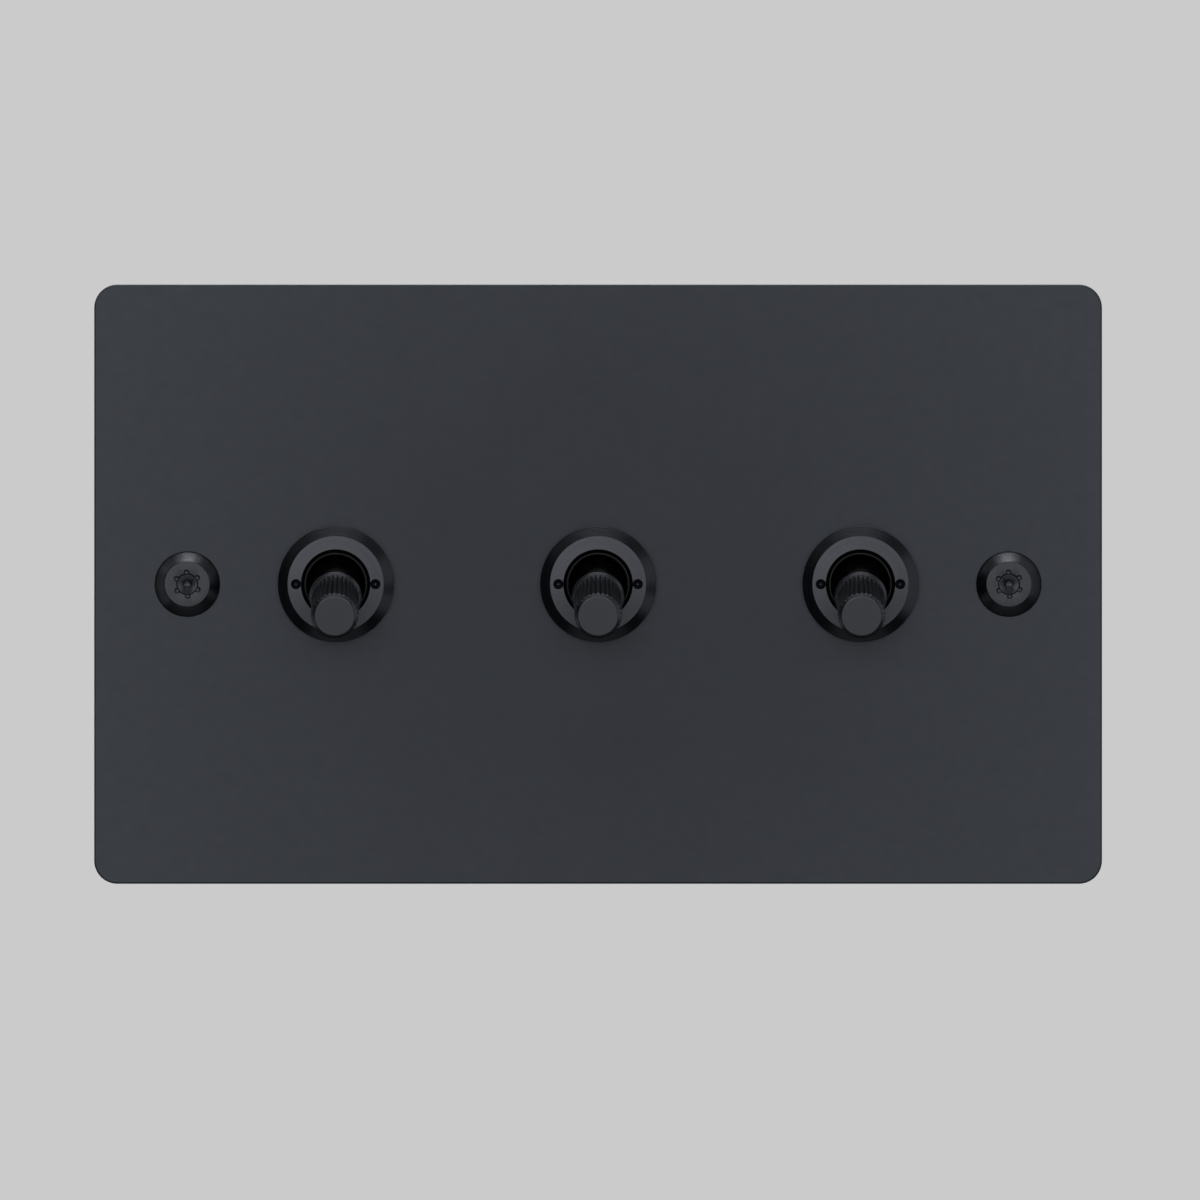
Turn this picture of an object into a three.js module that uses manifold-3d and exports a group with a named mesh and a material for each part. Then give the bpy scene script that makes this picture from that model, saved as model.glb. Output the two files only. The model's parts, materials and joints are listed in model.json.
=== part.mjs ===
// A three-gang toggle light switch on a double wall plate, in millimetres.
//
// X runs along the plate to the right as seen from the room, Z is up and +Y points into the wall.
// The origin is the centre of the plate in the plane of its rear rim, so the wall is the plane y = 0
// and everything that shows in the room has a negative y. The three toggles are at rest with their
// knobs down.
//
// Turned pieces are lathed round the Y axis. Each switch is a group of its own, and its toggle and
// its rocker are groups turned about their pivots.

import * as THREE from "three";
import { mergeVertices } from "three/addons/utils/BufferGeometryUtils.js";
import Module from "manifold-3d";

// ---- Driving dimensions -------------------------------------------------------------------------

const degree = Math.PI / 180;

// The plate and what fixes it.
const plateWidth = 148;
const plateHeight = 88;
const plateThickness = 2;
const plateCornerRadius = 3.4;
const plateEdge = 0.3;
const plateRim = 6;
const rearRecess = 0.3;
const fixingCentres = 120.6;
const fixingHoleRadius = 2.1;
const switchPitch = 38.5;

// The ring nut that dresses each switch.
const ringHeight = 2.6;
const ringRadius = 8.5;
const ringBevelWidth = 1.45;
const ringBevelHeight = 1.1;
const ringOpeningRadius = 5;
const ringLip = 1.6;
const spannerHoleRadius = 0.75;
const spannerHoleOffset = 5.83;
const spannerHoleDepth = 1.3;

// The threaded bush and its flange, with the seal between the flange and the plate.
const bushRadius = 6;
const bushBoreRadius = 4.3;
const bushMouth = 0.3;
const threadGap = 0.1;
const sealRadius = 8.2;
const flangeStart = 1;
const flangeThickness = 1.8;
const flangeWidth = 16;
const flangeHeight = 27.6;
const flangeCorner = 2;

// The toggle. Distances along it are measured from its pivot.
const pivotDepth = 0.6;
const toggleTilt = 15;
const ballRadius = 4.2;
const neckRadius = 2;
const pivotPinRadius = 0.75;
const pivotPinLength = 11.8;
const runningGap = 0.05;
const tailRadius = 2.8;
const tailReach = 7.5;
const tailBoreRadius = 1.8;
const tailBoreStart = 1.7;
const collarReach = 7.15;
const collarThickness = 0.8;
const collarRadius = 3.875;
const knobRadius = 3.42;
const knobReach = 18.2;
const knobChamferWidth = 0.4;
const knobChamferLength = 0.8;
const collarEdge = 0.15;
const knurlDepth = 0.2;
const knurlCount = 28;
const studRadius = 1.6;
const studReach = 13;
const studClearance = 0.3;
const shoulderGap = 0.1;

// The sprung plunger in the toggle's tail.
const plungerRadius = 1.7;
const plungerStart = 5;
const plungerShoulder = 7.2;
const noseRadius = 1.2;
const noseCentre = 9.8;
const spigotRadius = 0.9;
const spigotLength = 1.4;
const springRadius = 1.35;
const springWireRadius = 0.18;
const springTurns = 4;

// The rocker: a sprung-brass blade whose trough follows the plunger's nose.
const rockerTilt = 10;
const bladeThickness = 0.8;
const bladeWidth = 5;
const bladeReach = 9;
const noseGap = 0.1;
const troughHalfAngle = 42;
const buttonRadius = 1.1;
const buttonThickness = 0.6;
const buttonReach = 8.2;

// The moulded housing of each switch.
const housingWidth = 18;
const housingHeight = 34;
const housingDepth = 25;
const housingCorner = 1.5;
const coverEnd = 9;
const coverWall = 1.6;
const chamberWidth = 12;
const chamberHeight = 25;
const chamberEnd = 15;
const noseHoleRadius = 4.6;
const hookWidth = 8;
const hookThickness = 1.8;
const hookLip = 0.6;
const hookFront = 0.3;
const hookGap = 0.15;
const tongueWidth = 8;
const tongueThickness = 1.2;
const tongueFront = 4.6;
const tongueRear = 13;
const windowWidth = 5;
const windowFront = 6;
const windowRear = 8;
const catchWidth = 4.4;
const catchReach = 0.9;

// The terminals.
const terminalLength = 12;
const terminalHeight = 7.4;
const terminalDepth = 7;
const terminalRecess = 1;
const terminalPitch = 11.2;
const terminalGap = 0.4;
const outerPost = 8.7;
const wireBoreRadius = 1.9;
const wireBoreInset = 3.5;
const wireEntryRadius = 2.3;
const clampHoleRadius = 1.75;
const clampScrewRadius = 1.65;
const clampScrewProud = 0.8;
const clampSlotWidth = 0.6;
const clampSlotDepth = 0.8;
const postWidth = 3;
const postHeight = 2.2;
const contactGap = 0.15;

// The plate's own screws, their washers and the earth terminal.
const screwHeadRadius = 4.8;
const screwHeadHeight = 1.9;
const screwHeadBevel = 1.5;
const screwShankRadius = 1.75;
const screwLength = 25;
const screwTip = 0.5;
const recessRadius = 1.54;
const recessDepth = 1.1;
const lobeCount = 6;
const lobeRadius = 0.42;
const lobeOffset = 1.74;
const lobeDepth = 0.5;
const dimpleRadius = 0.65;
const dimpleDepth = 0.5;
const washerRadius = 4;
const washerThickness = 1;
const earthHeight = 28;

// ---- Materials ----------------------------------------------------------------------------------

function material(colour, roughness, metalness) {
  return new THREE.MeshStandardMaterial({ color: colour, roughness, metalness });
}

const blackMetal = material(0x35383d, 0.45, 0.6);
const blackenedSteel = material(0x1a1b1d, 0.35, 0.8);
const steel = material(0x9a9c9f, 0.35, 1);
const brass = material(0xb58a45, 0.35, 1);
const blackPlating = material(0x232426, 0.5, 0.9);
const blackPlastic = material(0x17181a, 0.55, 0);
const greyPlastic = material(0x3a3c3e, 0.6, 0);
const fibre = material(0x5a2a22, 0.9, 0);
const nylon = material(0xd8d6cf, 0.55, 0);

// ---- Solids -------------------------------------------------------------------------------------

// How far two solids that are joined run into each other, and how far a cutter runs past a face.
const overlap = 0.5;
const past = 1;

// How many sides a round shape has.
const sides = { large: 32, medium: 24, small: 12 };

const wasm = await Module();
wasm.setup();

// A closed three.js geometry as a solid that can be joined and cut.
function solid(geometry) {
  const bare = geometry.clone();
  bare.deleteAttribute("normal");
  bare.deleteAttribute("uv");
  const merged = mergeVertices(bare, 1e-4);
  const triVerts = new Uint32Array(merged.index.array);
  const vertProperties = merged.attributes.position.array;
  return new wasm.Manifold(new wasm.Mesh({ numProp: 3, vertProperties, triVerts }));
}

// A named mesh made from a solid.
function piece(name, shape, look) {
  const { vertProperties, triVerts } = shape.getMesh();
  const geometry = new THREE.BufferGeometry();
  geometry.setAttribute("position", new THREE.BufferAttribute(vertProperties, 3));
  geometry.setIndex(new THREE.BufferAttribute(triVerts, 1));
  geometry.computeVertexNormals();
  const mesh = new THREE.Mesh(geometry, look);
  mesh.name = name;
  return mesh;
}

// A profile of [radius, y] points, from low y to high y, lathed round the Y axis.
function turned(profile, segments) {
  const points = profile.map(([radius, y]) => new THREE.Vector2(radius, y));
  return solid(new THREE.LatheGeometry(points, segments));
}

// A round bar along Y.
function barAlongY(radius, start, end, segments, x = 0, z = 0) {
  const bar = new THREE.CylinderGeometry(radius, radius, end - start, segments);
  return solid(bar.translate(x, (start + end) / 2, z));
}

// A round bar along X, centred on x = 0.
function barAlongX(radius, length, segments, y = 0, z = 0) {
  const bar = new THREE.CylinderGeometry(radius, radius, length, segments);
  return solid(bar.rotateZ(90 * degree).translate(0, y, z));
}

// A box given by its width, its height and its span in y.
function block(width, height, start, end, x = 0, z = 0) {
  const box = new THREE.BoxGeometry(width, end - start, height);
  return solid(box.translate(x, (start + end) / 2, z));
}

// An outline drawn in X and Z, swept from y = start to y = end.
function sweptAlongY(outline, start, end) {
  const depth = end - start;
  const options = { depth, bevelEnabled: false, curveSegments: 3 };
  const sweep = new THREE.ExtrudeGeometry(outline, options);
  return solid(sweep.rotateX(90 * degree).translate(0, end, 0));
}

// An outline drawn in Y and Z, swept across X and centred on x = 0.
function sweptAlongX(outline, width, curveSegments) {
  const options = { depth: width, bevelEnabled: false, curveSegments };
  const sweep = new THREE.ExtrudeGeometry(outline, options);
  const turn = new THREE.Matrix4().set(0, 0, 1, -width / 2, 1, 0, 0, 0, 0, 1, 0, 0, 0, 0, 0, 1);
  return solid(sweep.applyMatrix4(turn));
}

function roundedRectangle(width, height, radius) {
  const x = width / 2 - radius;
  const y = height / 2 - radius;
  const outline = new THREE.Shape();
  outline.absarc(x, y, radius, 0, 90 * degree);
  outline.absarc(-x, y, radius, 90 * degree, 180 * degree);
  outline.absarc(-x, -y, radius, 180 * degree, 270 * degree);
  outline.absarc(x, -y, radius, 270 * degree, 360 * degree);
  return outline;
}

// ---- Places -------------------------------------------------------------------------------------

const switchPlaces = [-switchPitch, 0, switchPitch];
const fixingPlaces = [-fixingCentres / 2, fixingCentres / 2];
const flangeEnd = flangeStart + flangeThickness;

// The terminals of one switch, with the heights of each one's block and of its contact post.
const terminals = [
  { name: "l1", place: terminalPitch, post: outerPost },
  { name: "com", place: 0, post: 0 },
  { name: "l2", place: -terminalPitch, post: -outerPost },
];

// ---- The plate and its fixings ------------------------------------------------------------------

// The rear has a shallow recess for the fittings, so that the rim alone bears on the wall.
function frontPlate() {
  const outline = roundedRectangle(plateWidth, plateHeight, plateCornerRadius);
  const sheet = new THREE.ExtrudeGeometry(outline, {
    depth: plateThickness - 2 * plateEdge,
    bevelThickness: plateEdge,
    bevelSize: plateEdge,
    bevelOffset: -plateEdge,
    bevelSegments: 1,
    curveSegments: 5,
  });
  const recessWidth = plateWidth - 2 * plateRim;
  const recessHeight = plateHeight - 2 * plateRim;
  const recess = roundedRectangle(recessWidth, recessHeight, plateCornerRadius);
  const front = -plateThickness - past;
  let plate = solid(sheet.rotateX(90 * degree).translate(0, -plateEdge, 0));
  plate = plate.subtract(sweptAlongY(recess, -rearRecess, past));
  for (const x of switchPlaces) {
    plate = plate.subtract(barAlongY(bushRadius + 2 * threadGap, front, past, sides.large, x));
  }
  for (const x of fixingPlaces) {
    plate = plate.subtract(barAlongY(fixingHoleRadius, front, past, sides.small, x));
  }
  return plate;
}

// The head's underside is at y = 0 here and its face looks towards -Y.
function fixingScrew() {
  const faceRadius = screwHeadRadius - screwHeadBevel;
  const bevelStart = screwHeadBevel - screwHeadHeight;
  let screw = turned(
    [
      [0, -screwHeadHeight],
      [faceRadius, -screwHeadHeight],
      [screwHeadRadius, bevelStart],
      [screwHeadRadius, 0],
      [screwShankRadius, 0],
      [screwShankRadius, screwLength - screwTip],
      [screwShankRadius - screwTip, screwLength],
      [0, screwLength],
    ],
    sides.large,
  );
  const front = -screwHeadHeight - past;
  const recessFloor = recessDepth - screwHeadHeight;
  const lobeFloor = lobeDepth - screwHeadHeight;
  screw = screw.subtract(barAlongY(recessRadius, front, recessFloor, sides.medium));
  for (let i = 0; i < lobeCount; i += 1) {
    const angle = (i / lobeCount) * 360 * degree;
    const x = lobeOffset * Math.sin(angle);
    const z = lobeOffset * Math.cos(angle);
    screw = screw.subtract(barAlongY(lobeRadius, front, lobeFloor, sides.small, x, z));
  }
  const dimpleFloor = recessFloor + dimpleDepth;
  return screw.subtract(barAlongY(dimpleRadius, front, dimpleFloor, sides.small));
}

// A flat washer from y = start to y = end.
function washer(radius, holeRadius, start, end) {
  const disc = barAlongY(radius, start, end, sides.medium);
  return disc.subtract(barAlongY(holeRadius, start - past, end + past, sides.medium));
}

function screwRetainer() {
  const holeRadius = screwShankRadius + runningGap;
  return washer(washerRadius, holeRadius, -rearRecess, washerThickness - rearRecess);
}

// ---- The pieces of one switch that don't move ---------------------------------------------------

// A ring closed round the opening: its lip bears on the bush, and the wider bore behind it is threaded.
function bezelRing() {
  const rear = -plateThickness;
  const face = rear - ringHeight;
  const threadRadius = bushRadius + threadGap;
  let ring = turned(
    [
      [ringOpeningRadius, face],
      [ringRadius - ringBevelWidth, face],
      [ringRadius, face + ringBevelHeight],
      [ringRadius, rear],
      [threadRadius, rear],
      [threadRadius, face + ringLip],
      [ringOpeningRadius, face + ringLip],
      [ringOpeningRadius, face],
    ],
    sides.large,
  );
  const holeFloor = face + spannerHoleDepth;
  for (const x of [-spannerHoleOffset, spannerHoleOffset]) {
    ring = ring.subtract(barAlongY(spannerHoleRadius, face - past, holeFloor, sides.small, x));
  }
  return ring;
}

function bush() {
  const front = ringLip - plateThickness - ringHeight;
  const mouthRadius = bushBoreRadius + bushMouth;
  const tube = barAlongY(bushRadius, front, flangeEnd - overlap, sides.large);
  const outline = roundedRectangle(flangeWidth, flangeHeight, flangeCorner);
  const flange = sweptAlongY(outline, flangeStart, flangeEnd);
  const bore = turned(
    [
      [0, front - past],
      [mouthRadius, front - past],
      [mouthRadius, front],
      [bushBoreRadius, front + bushMouth],
      [bushBoreRadius, flangeEnd + past],
      [0, flangeEnd + past],
    ],
    sides.large,
  );
  const pinHoleRadius = pivotPinRadius + runningGap;
  const pinHole = barAlongX(pinHoleRadius, flangeWidth + 2 * past, sides.small, pivotDepth);
  return tube.add(flange).subtract(bore).subtract(pinHole);
}

function sealRing() {
  return washer(sealRadius, bushRadius + threadGap, -rearRecess, flangeStart);
}

function pivotPin() {
  return barAlongX(pivotPinRadius, pivotPinLength, sides.small, pivotDepth);
}

// The front shell. Hooks at its two ends hold the bush's flange, and a catch on each side holds
// the base.
function housingCover() {
  const outline = roundedRectangle(housingWidth, housingHeight, housingCorner);
  const shell = sweptAlongY(outline, flangeEnd, coverEnd);
  const wallEnd = flangeEnd + coverWall;
  const hollow = block(chamberWidth + 1, chamberHeight + 1, wallEnd, coverEnd + past);
  const noseHole = barAlongY(noseHoleRadius, flangeEnd - past, wallEnd + past, sides.large);
  const hookCentre = (flangeHeight + hookThickness) / 2 + hookGap;
  const hookEnd = flangeStart - hookGap;
  const catchStart = windowFront + hookGap;
  const catchEnd = windowRear - hookGap;
  let cover = shell.subtract(hollow).subtract(noseHole);
  for (const side of [-1, 1]) {
    const stem = block(hookWidth, hookThickness, hookFront, flangeEnd + overlap, 0, side * hookCentre);
    const lipCentre = side * (hookCentre - hookLip);
    const lip = block(hookWidth, hookThickness, hookFront, hookEnd, 0, lipCentre);
    const catchCentre = (side * housingWidth) / 2;
    const nub = block(2 * catchReach, catchWidth, catchStart, catchEnd, catchCentre);
    cover = cover.add(stem).add(lip).add(nub);
  }
  return cover;
}

// A spring tongue on the side of the base, with a window that takes the cover's catch.
function snapTongue(side) {
  const thickness = tongueThickness;
  const centre = (side * (housingWidth + thickness)) / 2;
  const tongue = block(thickness, tongueWidth, tongueFront, tongueRear, centre);
  const window = block(thickness + past, windowWidth, windowFront, windowRear, centre);
  const rootCentre = centre - (side * overlap) / 2;
  const root = block(thickness + overlap, tongueWidth, coverEnd + overlap, tongueRear, rootCentre);
  return tongue.subtract(window).add(root);
}

// The rear shell: the chamber of the rocker in front, and three pockets for the terminals behind.
function housingBase() {
  const pocketStart = housingDepth - terminalRecess - terminalDepth - terminalGap / 4;
  const wireDepth = housingDepth - terminalRecess - wireBoreInset;
  const outline = roundedRectangle(housingWidth, housingHeight, housingCorner);
  let base = sweptAlongY(outline, coverEnd, housingDepth);
  base = base.subtract(block(chamberWidth, chamberHeight, coverEnd - past, chamberEnd));
  const pocketWidth = terminalLength + 2 * terminalGap;
  const pocketHeight = terminalHeight + 2 * terminalGap;
  const slotWidth = postWidth + terminalGap;
  const slotHeight = postHeight + terminalGap;
  const entryLength = housingWidth + 2 * past;
  for (const { place, post } of terminals) {
    const pocket = block(pocketWidth, pocketHeight, pocketStart, housingDepth + past, 0, place);
    const slot = block(slotWidth, slotHeight, chamberEnd - past, pocketStart + past, 0, post);
    const wireEntry = barAlongX(wireEntryRadius, entryLength, sides.small, wireDepth, place);
    base = base.subtract(pocket).subtract(slot).subtract(wireEntry);
  }
  return base.add(snapTongue(-1)).add(snapTongue(1));
}

// ---- The toggle, drawn along the Y axis with its pivot at the origin ----------------------------

function toggleLever() {
  const ballEnd = Math.asin(neckRadius / ballRadius);
  const ballStart = Math.PI - Math.asin(tailRadius / ballRadius);
  const steps = 8;
  const profile = [
    [0, -studReach],
    [studRadius, -studReach],
    [studRadius, -collarReach + shoulderGap],
    [neckRadius, -collarReach + shoulderGap],
  ];
  for (let i = 0; i <= steps; i += 1) {
    const angle = ballEnd + ((ballStart - ballEnd) * i) / steps;
    profile.push([ballRadius * Math.sin(angle), -ballRadius * Math.cos(angle)]);
  }
  profile.push([tailRadius, tailReach], [tailBoreRadius, tailReach]);
  profile.push([tailBoreRadius, tailBoreStart], [0, tailBoreStart]);
  const pinHole = barAlongX(pivotPinRadius + runningGap, 3 * ballRadius, sides.small);
  return turned(profile, sides.medium).subtract(pinHole);
}

function knurledBar(start, end) {
  const outline = new THREE.Shape();
  for (let i = 0; i < 2 * knurlCount; i += 1) {
    const angle = (i / knurlCount) * 180 * degree;
    const radius = i % 2 === 0 ? knobRadius : knobRadius - knurlDepth;
    const x = radius * Math.sin(angle);
    const z = radius * Math.cos(angle);
    if (i === 0) outline.moveTo(x, z);
    else outline.lineTo(x, z);
  }
  return sweptAlongY(outline, start, end);
}

function toggleKnob() {
  const collarFront = -collarReach - collarThickness;
  const barrelEnd = collarFront + collarEdge;
  const clearRadius = knobRadius + knurlDepth;
  const chamferEnd = ((knobChamferWidth + knurlDepth) * knobChamferLength) / knobChamferWidth;
  const envelope = turned(
    [
      [0, -knobReach],
      [knobRadius - knobChamferWidth, -knobReach],
      [clearRadius, -knobReach + chamferEnd],
      [clearRadius, barrelEnd],
      [0, barrelEnd],
    ],
    2 * knurlCount,
  );
  const collar = turned(
    [
      [0, collarFront],
      [collarRadius - collarEdge, collarFront],
      [collarRadius, collarFront + collarEdge],
      [collarRadius, -collarReach - collarEdge],
      [collarRadius - collarEdge, -collarReach],
      [0, -collarReach],
    ],
    knurlCount,
  );
  const boreEnd = -studReach - studClearance;
  const bore = barAlongY(studRadius + runningGap, boreEnd, 0, sides.medium);
  const barrel = knurledBar(-knobReach, barrelEnd).intersect(envelope);
  return barrel.add(collar).subtract(bore);
}

function plunger() {
  const profile = [
    [0, plungerStart - spigotLength],
    [spigotRadius, plungerStart - spigotLength],
    [spigotRadius, plungerStart],
    [plungerRadius, plungerStart],
    [plungerRadius, plungerShoulder],
    [noseRadius, plungerShoulder],
  ];
  const steps = 4;
  for (let i = 0; i < steps; i += 1) {
    const angle = (i / steps) * 90 * degree;
    profile.push([noseRadius * Math.cos(angle), noseCentre + noseRadius * Math.sin(angle)]);
  }
  profile.push([0, noseCentre + noseRadius]);
  return turned(profile, sides.small);
}

class Helix extends THREE.Curve {
  getPoint(t) {
    const angle = t * springTurns * 360 * degree;
    const start = tailBoreStart + springWireRadius + runningGap;
    const end = plungerStart - springWireRadius - runningGap;
    const along = start + t * (end - start);
    return new THREE.Vector3(springRadius * Math.cos(angle), along, springRadius * Math.sin(angle));
  }
}

function spring() {
  const wire = new THREE.Shape();
  const wireSides = 5;
  for (let i = 0; i < wireSides; i += 1) {
    const angle = (i / wireSides) * 360 * degree;
    const x = springWireRadius * Math.cos(angle);
    const y = springWireRadius * Math.sin(angle);
    if (i === 0) wire.moveTo(x, y);
    else wire.lineTo(x, y);
  }
  const options = { steps: 8 * springTurns, extrudePath: new Helix() };
  return solid(new THREE.ExtrudeGeometry(wire, options));
}

// ---- The rocker, drawn with its fulcrum at the origin -------------------------------------------

// The nose's centre in the rocker's frame, [y, z], when the toggle stands at the given angle.
function noseInRocker(angle, reach) {
  const y = noseCentre * Math.cos(angle) - reach;
  const z = noseCentre * Math.sin(angle);
  const tilt = (angle * rockerTilt) / toggleTilt;
  return [y * Math.cos(tilt) - z * Math.sin(tilt), y * Math.sin(tilt) + z * Math.cos(tilt)];
}

const fulcrumReach = noseCentre + noseRadius + noseGap + bladeThickness;
const fulcrumDepth = pivotDepth + fulcrumReach;

function rocker() {
  // The trough is the circle through the nose's places at mid travel and at the end, set back.
  const [middleY] = noseInRocker(0, fulcrumReach);
  const [endY, endZ] = noseInRocker(toggleTilt * degree, fulcrumReach);
  const drop = middleY - endY;
  const pathRadius = (endZ * endZ + drop * drop) / (2 * drop);
  const inner = pathRadius + noseRadius + noseGap;
  const outer = inner + bladeThickness;
  const half = troughHalfAngle * degree;
  const slope = Math.tan(rockerTilt * degree);
  const innerEnd = [inner * Math.cos(half) - outer, inner * Math.sin(half)];
  const tipFront = innerEnd[0] - (bladeReach - innerEnd[1]) * slope;
  const tipRear = tipFront + bladeThickness / Math.cos(rockerTilt * degree);
  const outline = new THREE.Shape();
  outline.absarc(-outer, 0, inner, -half, half, false);
  outline.lineTo(tipFront, bladeReach);
  outline.lineTo(tipRear, bladeReach);
  outline.absarc(-outer, 0, outer, half, -half, true);
  outline.lineTo(tipRear, -bladeReach);
  outline.lineTo(tipFront, -bladeReach);
  let blade = sweptAlongX(outline, bladeWidth, 10);
  const rearAtButton = tipRear + (bladeReach - buttonReach) * slope;
  for (const side of [-1, 1]) {
    const button = barAlongY(buttonRadius, -buttonThickness, buttonThickness, sides.small);
    const turn = [side * rockerTilt, 0, 0];
    blade = blade.add(button.rotate(turn).translate([0, rearAtButton, side * buttonReach]));
  }
  return blade;
}

// ---- Terminals ----------------------------------------------------------------------------------

// A block with a wire bore across it and a clamping screw's hole in its rear face.
function terminalBlock(rear) {
  const front = rear - terminalDepth;
  const boreDepth = rear - wireBoreInset;
  const body = block(terminalLength, terminalHeight, front, rear);
  const wireBore = barAlongX(wireBoreRadius, terminalLength + 2 * past, sides.small, boreDepth);
  const clampHole = barAlongY(clampHoleRadius, boreDepth, rear + past, sides.small);
  return body.subtract(wireBore).subtract(clampHole);
}

// A block with a contact post that reaches forward through the chamber's wall to the rocker.
function switchTerminal({ place, post }) {
  const rear = housingDepth - terminalRecess;
  const contact = fulcrumDepth + contactGap;
  const postEnd = rear - terminalDepth + overlap;
  const body = terminalBlock(rear).translate([0, 0, place]);
  return body.add(block(postWidth, postHeight, contact, postEnd, 0, post));
}

// A slotted grub screw, backed off so that the wire bore is open.
function clampScrew(rear) {
  const start = rear - wireBoreInset + wireBoreRadius;
  const end = rear + clampScrewProud;
  const screw = barAlongY(clampScrewRadius, start, end, sides.small);
  const slotLength = 3 * clampScrewRadius;
  return screw.subtract(block(slotLength, clampSlotWidth, end - clampSlotDepth, end + past));
}

// ---- Assembly -----------------------------------------------------------------------------------

function switchModule(side, x) {
  const module = new THREE.Group();
  module.position.x = x;
  module.add(piece(side + "_bezel_ring", bezelRing(), blackMetal));
  module.add(piece(side + "_bush", bush(), blackPlating));
  module.add(piece(side + "_seal_ring", sealRing(), fibre));
  module.add(piece(side + "_pivot_pin", pivotPin(), blackenedSteel));
  module.add(piece(side + "_housing_cover", housingCover(), blackPlastic));
  module.add(piece(side + "_housing_base", housingBase(), greyPlastic));

  const toggle = new THREE.Group();
  toggle.position.y = pivotDepth;
  toggle.rotation.x = toggleTilt * degree;
  toggle.add(piece(side + "_toggle_knob", toggleKnob(), blackMetal));
  toggle.add(piece(side + "_toggle_lever", toggleLever(), blackenedSteel));
  toggle.add(piece(side + "_plunger_spring", spring(), steel));
  toggle.add(piece(side + "_plunger", plunger(), brass));
  module.add(toggle);

  const rockerGroup = new THREE.Group();
  rockerGroup.position.y = fulcrumDepth;
  rockerGroup.rotation.x = -rockerTilt * degree;
  rockerGroup.add(piece(side + "_rocker_contact", rocker(), brass));
  module.add(rockerGroup);

  const rear = housingDepth - terminalRecess;
  for (const terminal of terminals) {
    const name = side + "_" + terminal.name;
    const screw = clampScrew(rear).translate([0, 0, terminal.place]);
    module.add(piece(name + "_terminal", switchTerminal(terminal), brass));
    module.add(piece(name + "_terminal_screw", screw, steel));
  }
  return module;
}

function earthTerminal() {
  const group = new THREE.Group();
  group.position.set(0, -rearRecess, earthHeight);
  group.add(piece("earth_terminal", terminalBlock(terminalDepth), brass));
  group.add(piece("earth_terminal_screw", clampScrew(terminalDepth), steel));
  return group;
}

const assembly = new THREE.Group();
assembly.add(piece("front_plate", frontPlate(), blackMetal));
["left", "right"].forEach((side, i) => {
  const screw = piece(side + "_fixing_screw", fixingScrew(), blackMetal);
  screw.position.set(fixingPlaces[i], -plateThickness, 0);
  const retainer = piece(side + "_screw_retainer", screwRetainer(), nylon);
  retainer.position.x = fixingPlaces[i];
  assembly.add(screw, retainer);
});
["left", "middle", "right"].forEach((side, i) => {
  assembly.add(switchModule(side, switchPlaces[i]));
});
assembly.add(earthTerminal());

export default assembly;
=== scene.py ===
"""The finished look of a three-gang toggle switch plate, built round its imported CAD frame.

Every CAD node is replaced by a finer mesh of the same piece. Meshes are made in millimetres in the
piece's own frame, where Y is the axis of everything turned and -Y faces the room, and are scaled to
metres at the end. The three switches share their meshes, as the real ones share their tooling.
"""

import json
from math import acos, asin, cos, degrees, pi, radians, sin, tan

import bmesh
import bpy
from mathutils import Matrix, Vector


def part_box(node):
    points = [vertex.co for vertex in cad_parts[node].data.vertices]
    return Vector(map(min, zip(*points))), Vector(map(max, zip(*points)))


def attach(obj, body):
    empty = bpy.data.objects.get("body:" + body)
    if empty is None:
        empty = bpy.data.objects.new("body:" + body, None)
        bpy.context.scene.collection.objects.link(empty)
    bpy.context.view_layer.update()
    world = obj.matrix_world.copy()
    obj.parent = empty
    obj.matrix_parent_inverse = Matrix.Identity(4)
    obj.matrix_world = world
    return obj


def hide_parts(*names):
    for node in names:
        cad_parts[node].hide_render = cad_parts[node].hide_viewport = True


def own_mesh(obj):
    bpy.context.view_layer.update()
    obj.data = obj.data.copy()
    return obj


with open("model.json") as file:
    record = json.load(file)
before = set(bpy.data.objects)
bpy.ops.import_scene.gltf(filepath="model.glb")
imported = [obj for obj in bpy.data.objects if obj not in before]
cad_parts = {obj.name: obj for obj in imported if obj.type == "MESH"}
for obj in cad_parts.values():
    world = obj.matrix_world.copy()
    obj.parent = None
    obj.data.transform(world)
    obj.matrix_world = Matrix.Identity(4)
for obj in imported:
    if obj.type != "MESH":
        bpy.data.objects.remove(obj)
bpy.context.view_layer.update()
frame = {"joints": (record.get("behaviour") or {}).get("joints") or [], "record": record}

# A millimetre in metres, how far a cutter reaches past what it cuts, the bend from which an edge is
# shaded sharp, and the segments round large, middling and small turned shapes.
MM = 0.001
PAST = 1.0
SHARP = radians(32)
FINE = 120
MEDIUM = 64
COARSE = 32
scene = bpy.context.scene
SIDES = ("left", "middle", "right")


# ---- Measures taken from the frame, in millimetres ----

def node_box(node):
    """A CAD node's lowest and highest corners."""
    low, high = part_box(node)
    return low / MM, high / MM


def joint_range(name):
    """How far a hinge turns from its lower limit, which is 0, in radians."""
    joint = next(joint for joint in frame["joints"] if joint["name"] == name)
    return radians(joint["range_deg"][1])


low, high = node_box("front_plate")
PLATE_WIDTH = high.x - low.x
PLATE_HEIGHT = high.z - low.z
PLATE_FRONT = low.y

low, high = node_box("middle_bezel_ring")
RING_FACE = low.y
RING_RADIUS = high.x

low, high = node_box("middle_bush")
BUSH_FRONT = low.y
FLANGE_WIDTH = high.x - low.x
FLANGE_HEIGHT = high.z - low.z
FLANGE_END = high.y

low, high = node_box("middle_seal_ring")
RECESS_FLOOR = low.y
FLANGE_START = high.y
SEAL_RADIUS = high.x

low, high = node_box("middle_housing_base")
HOUSING_HEIGHT = high.z - low.z
HOUSING_END = high.y

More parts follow.
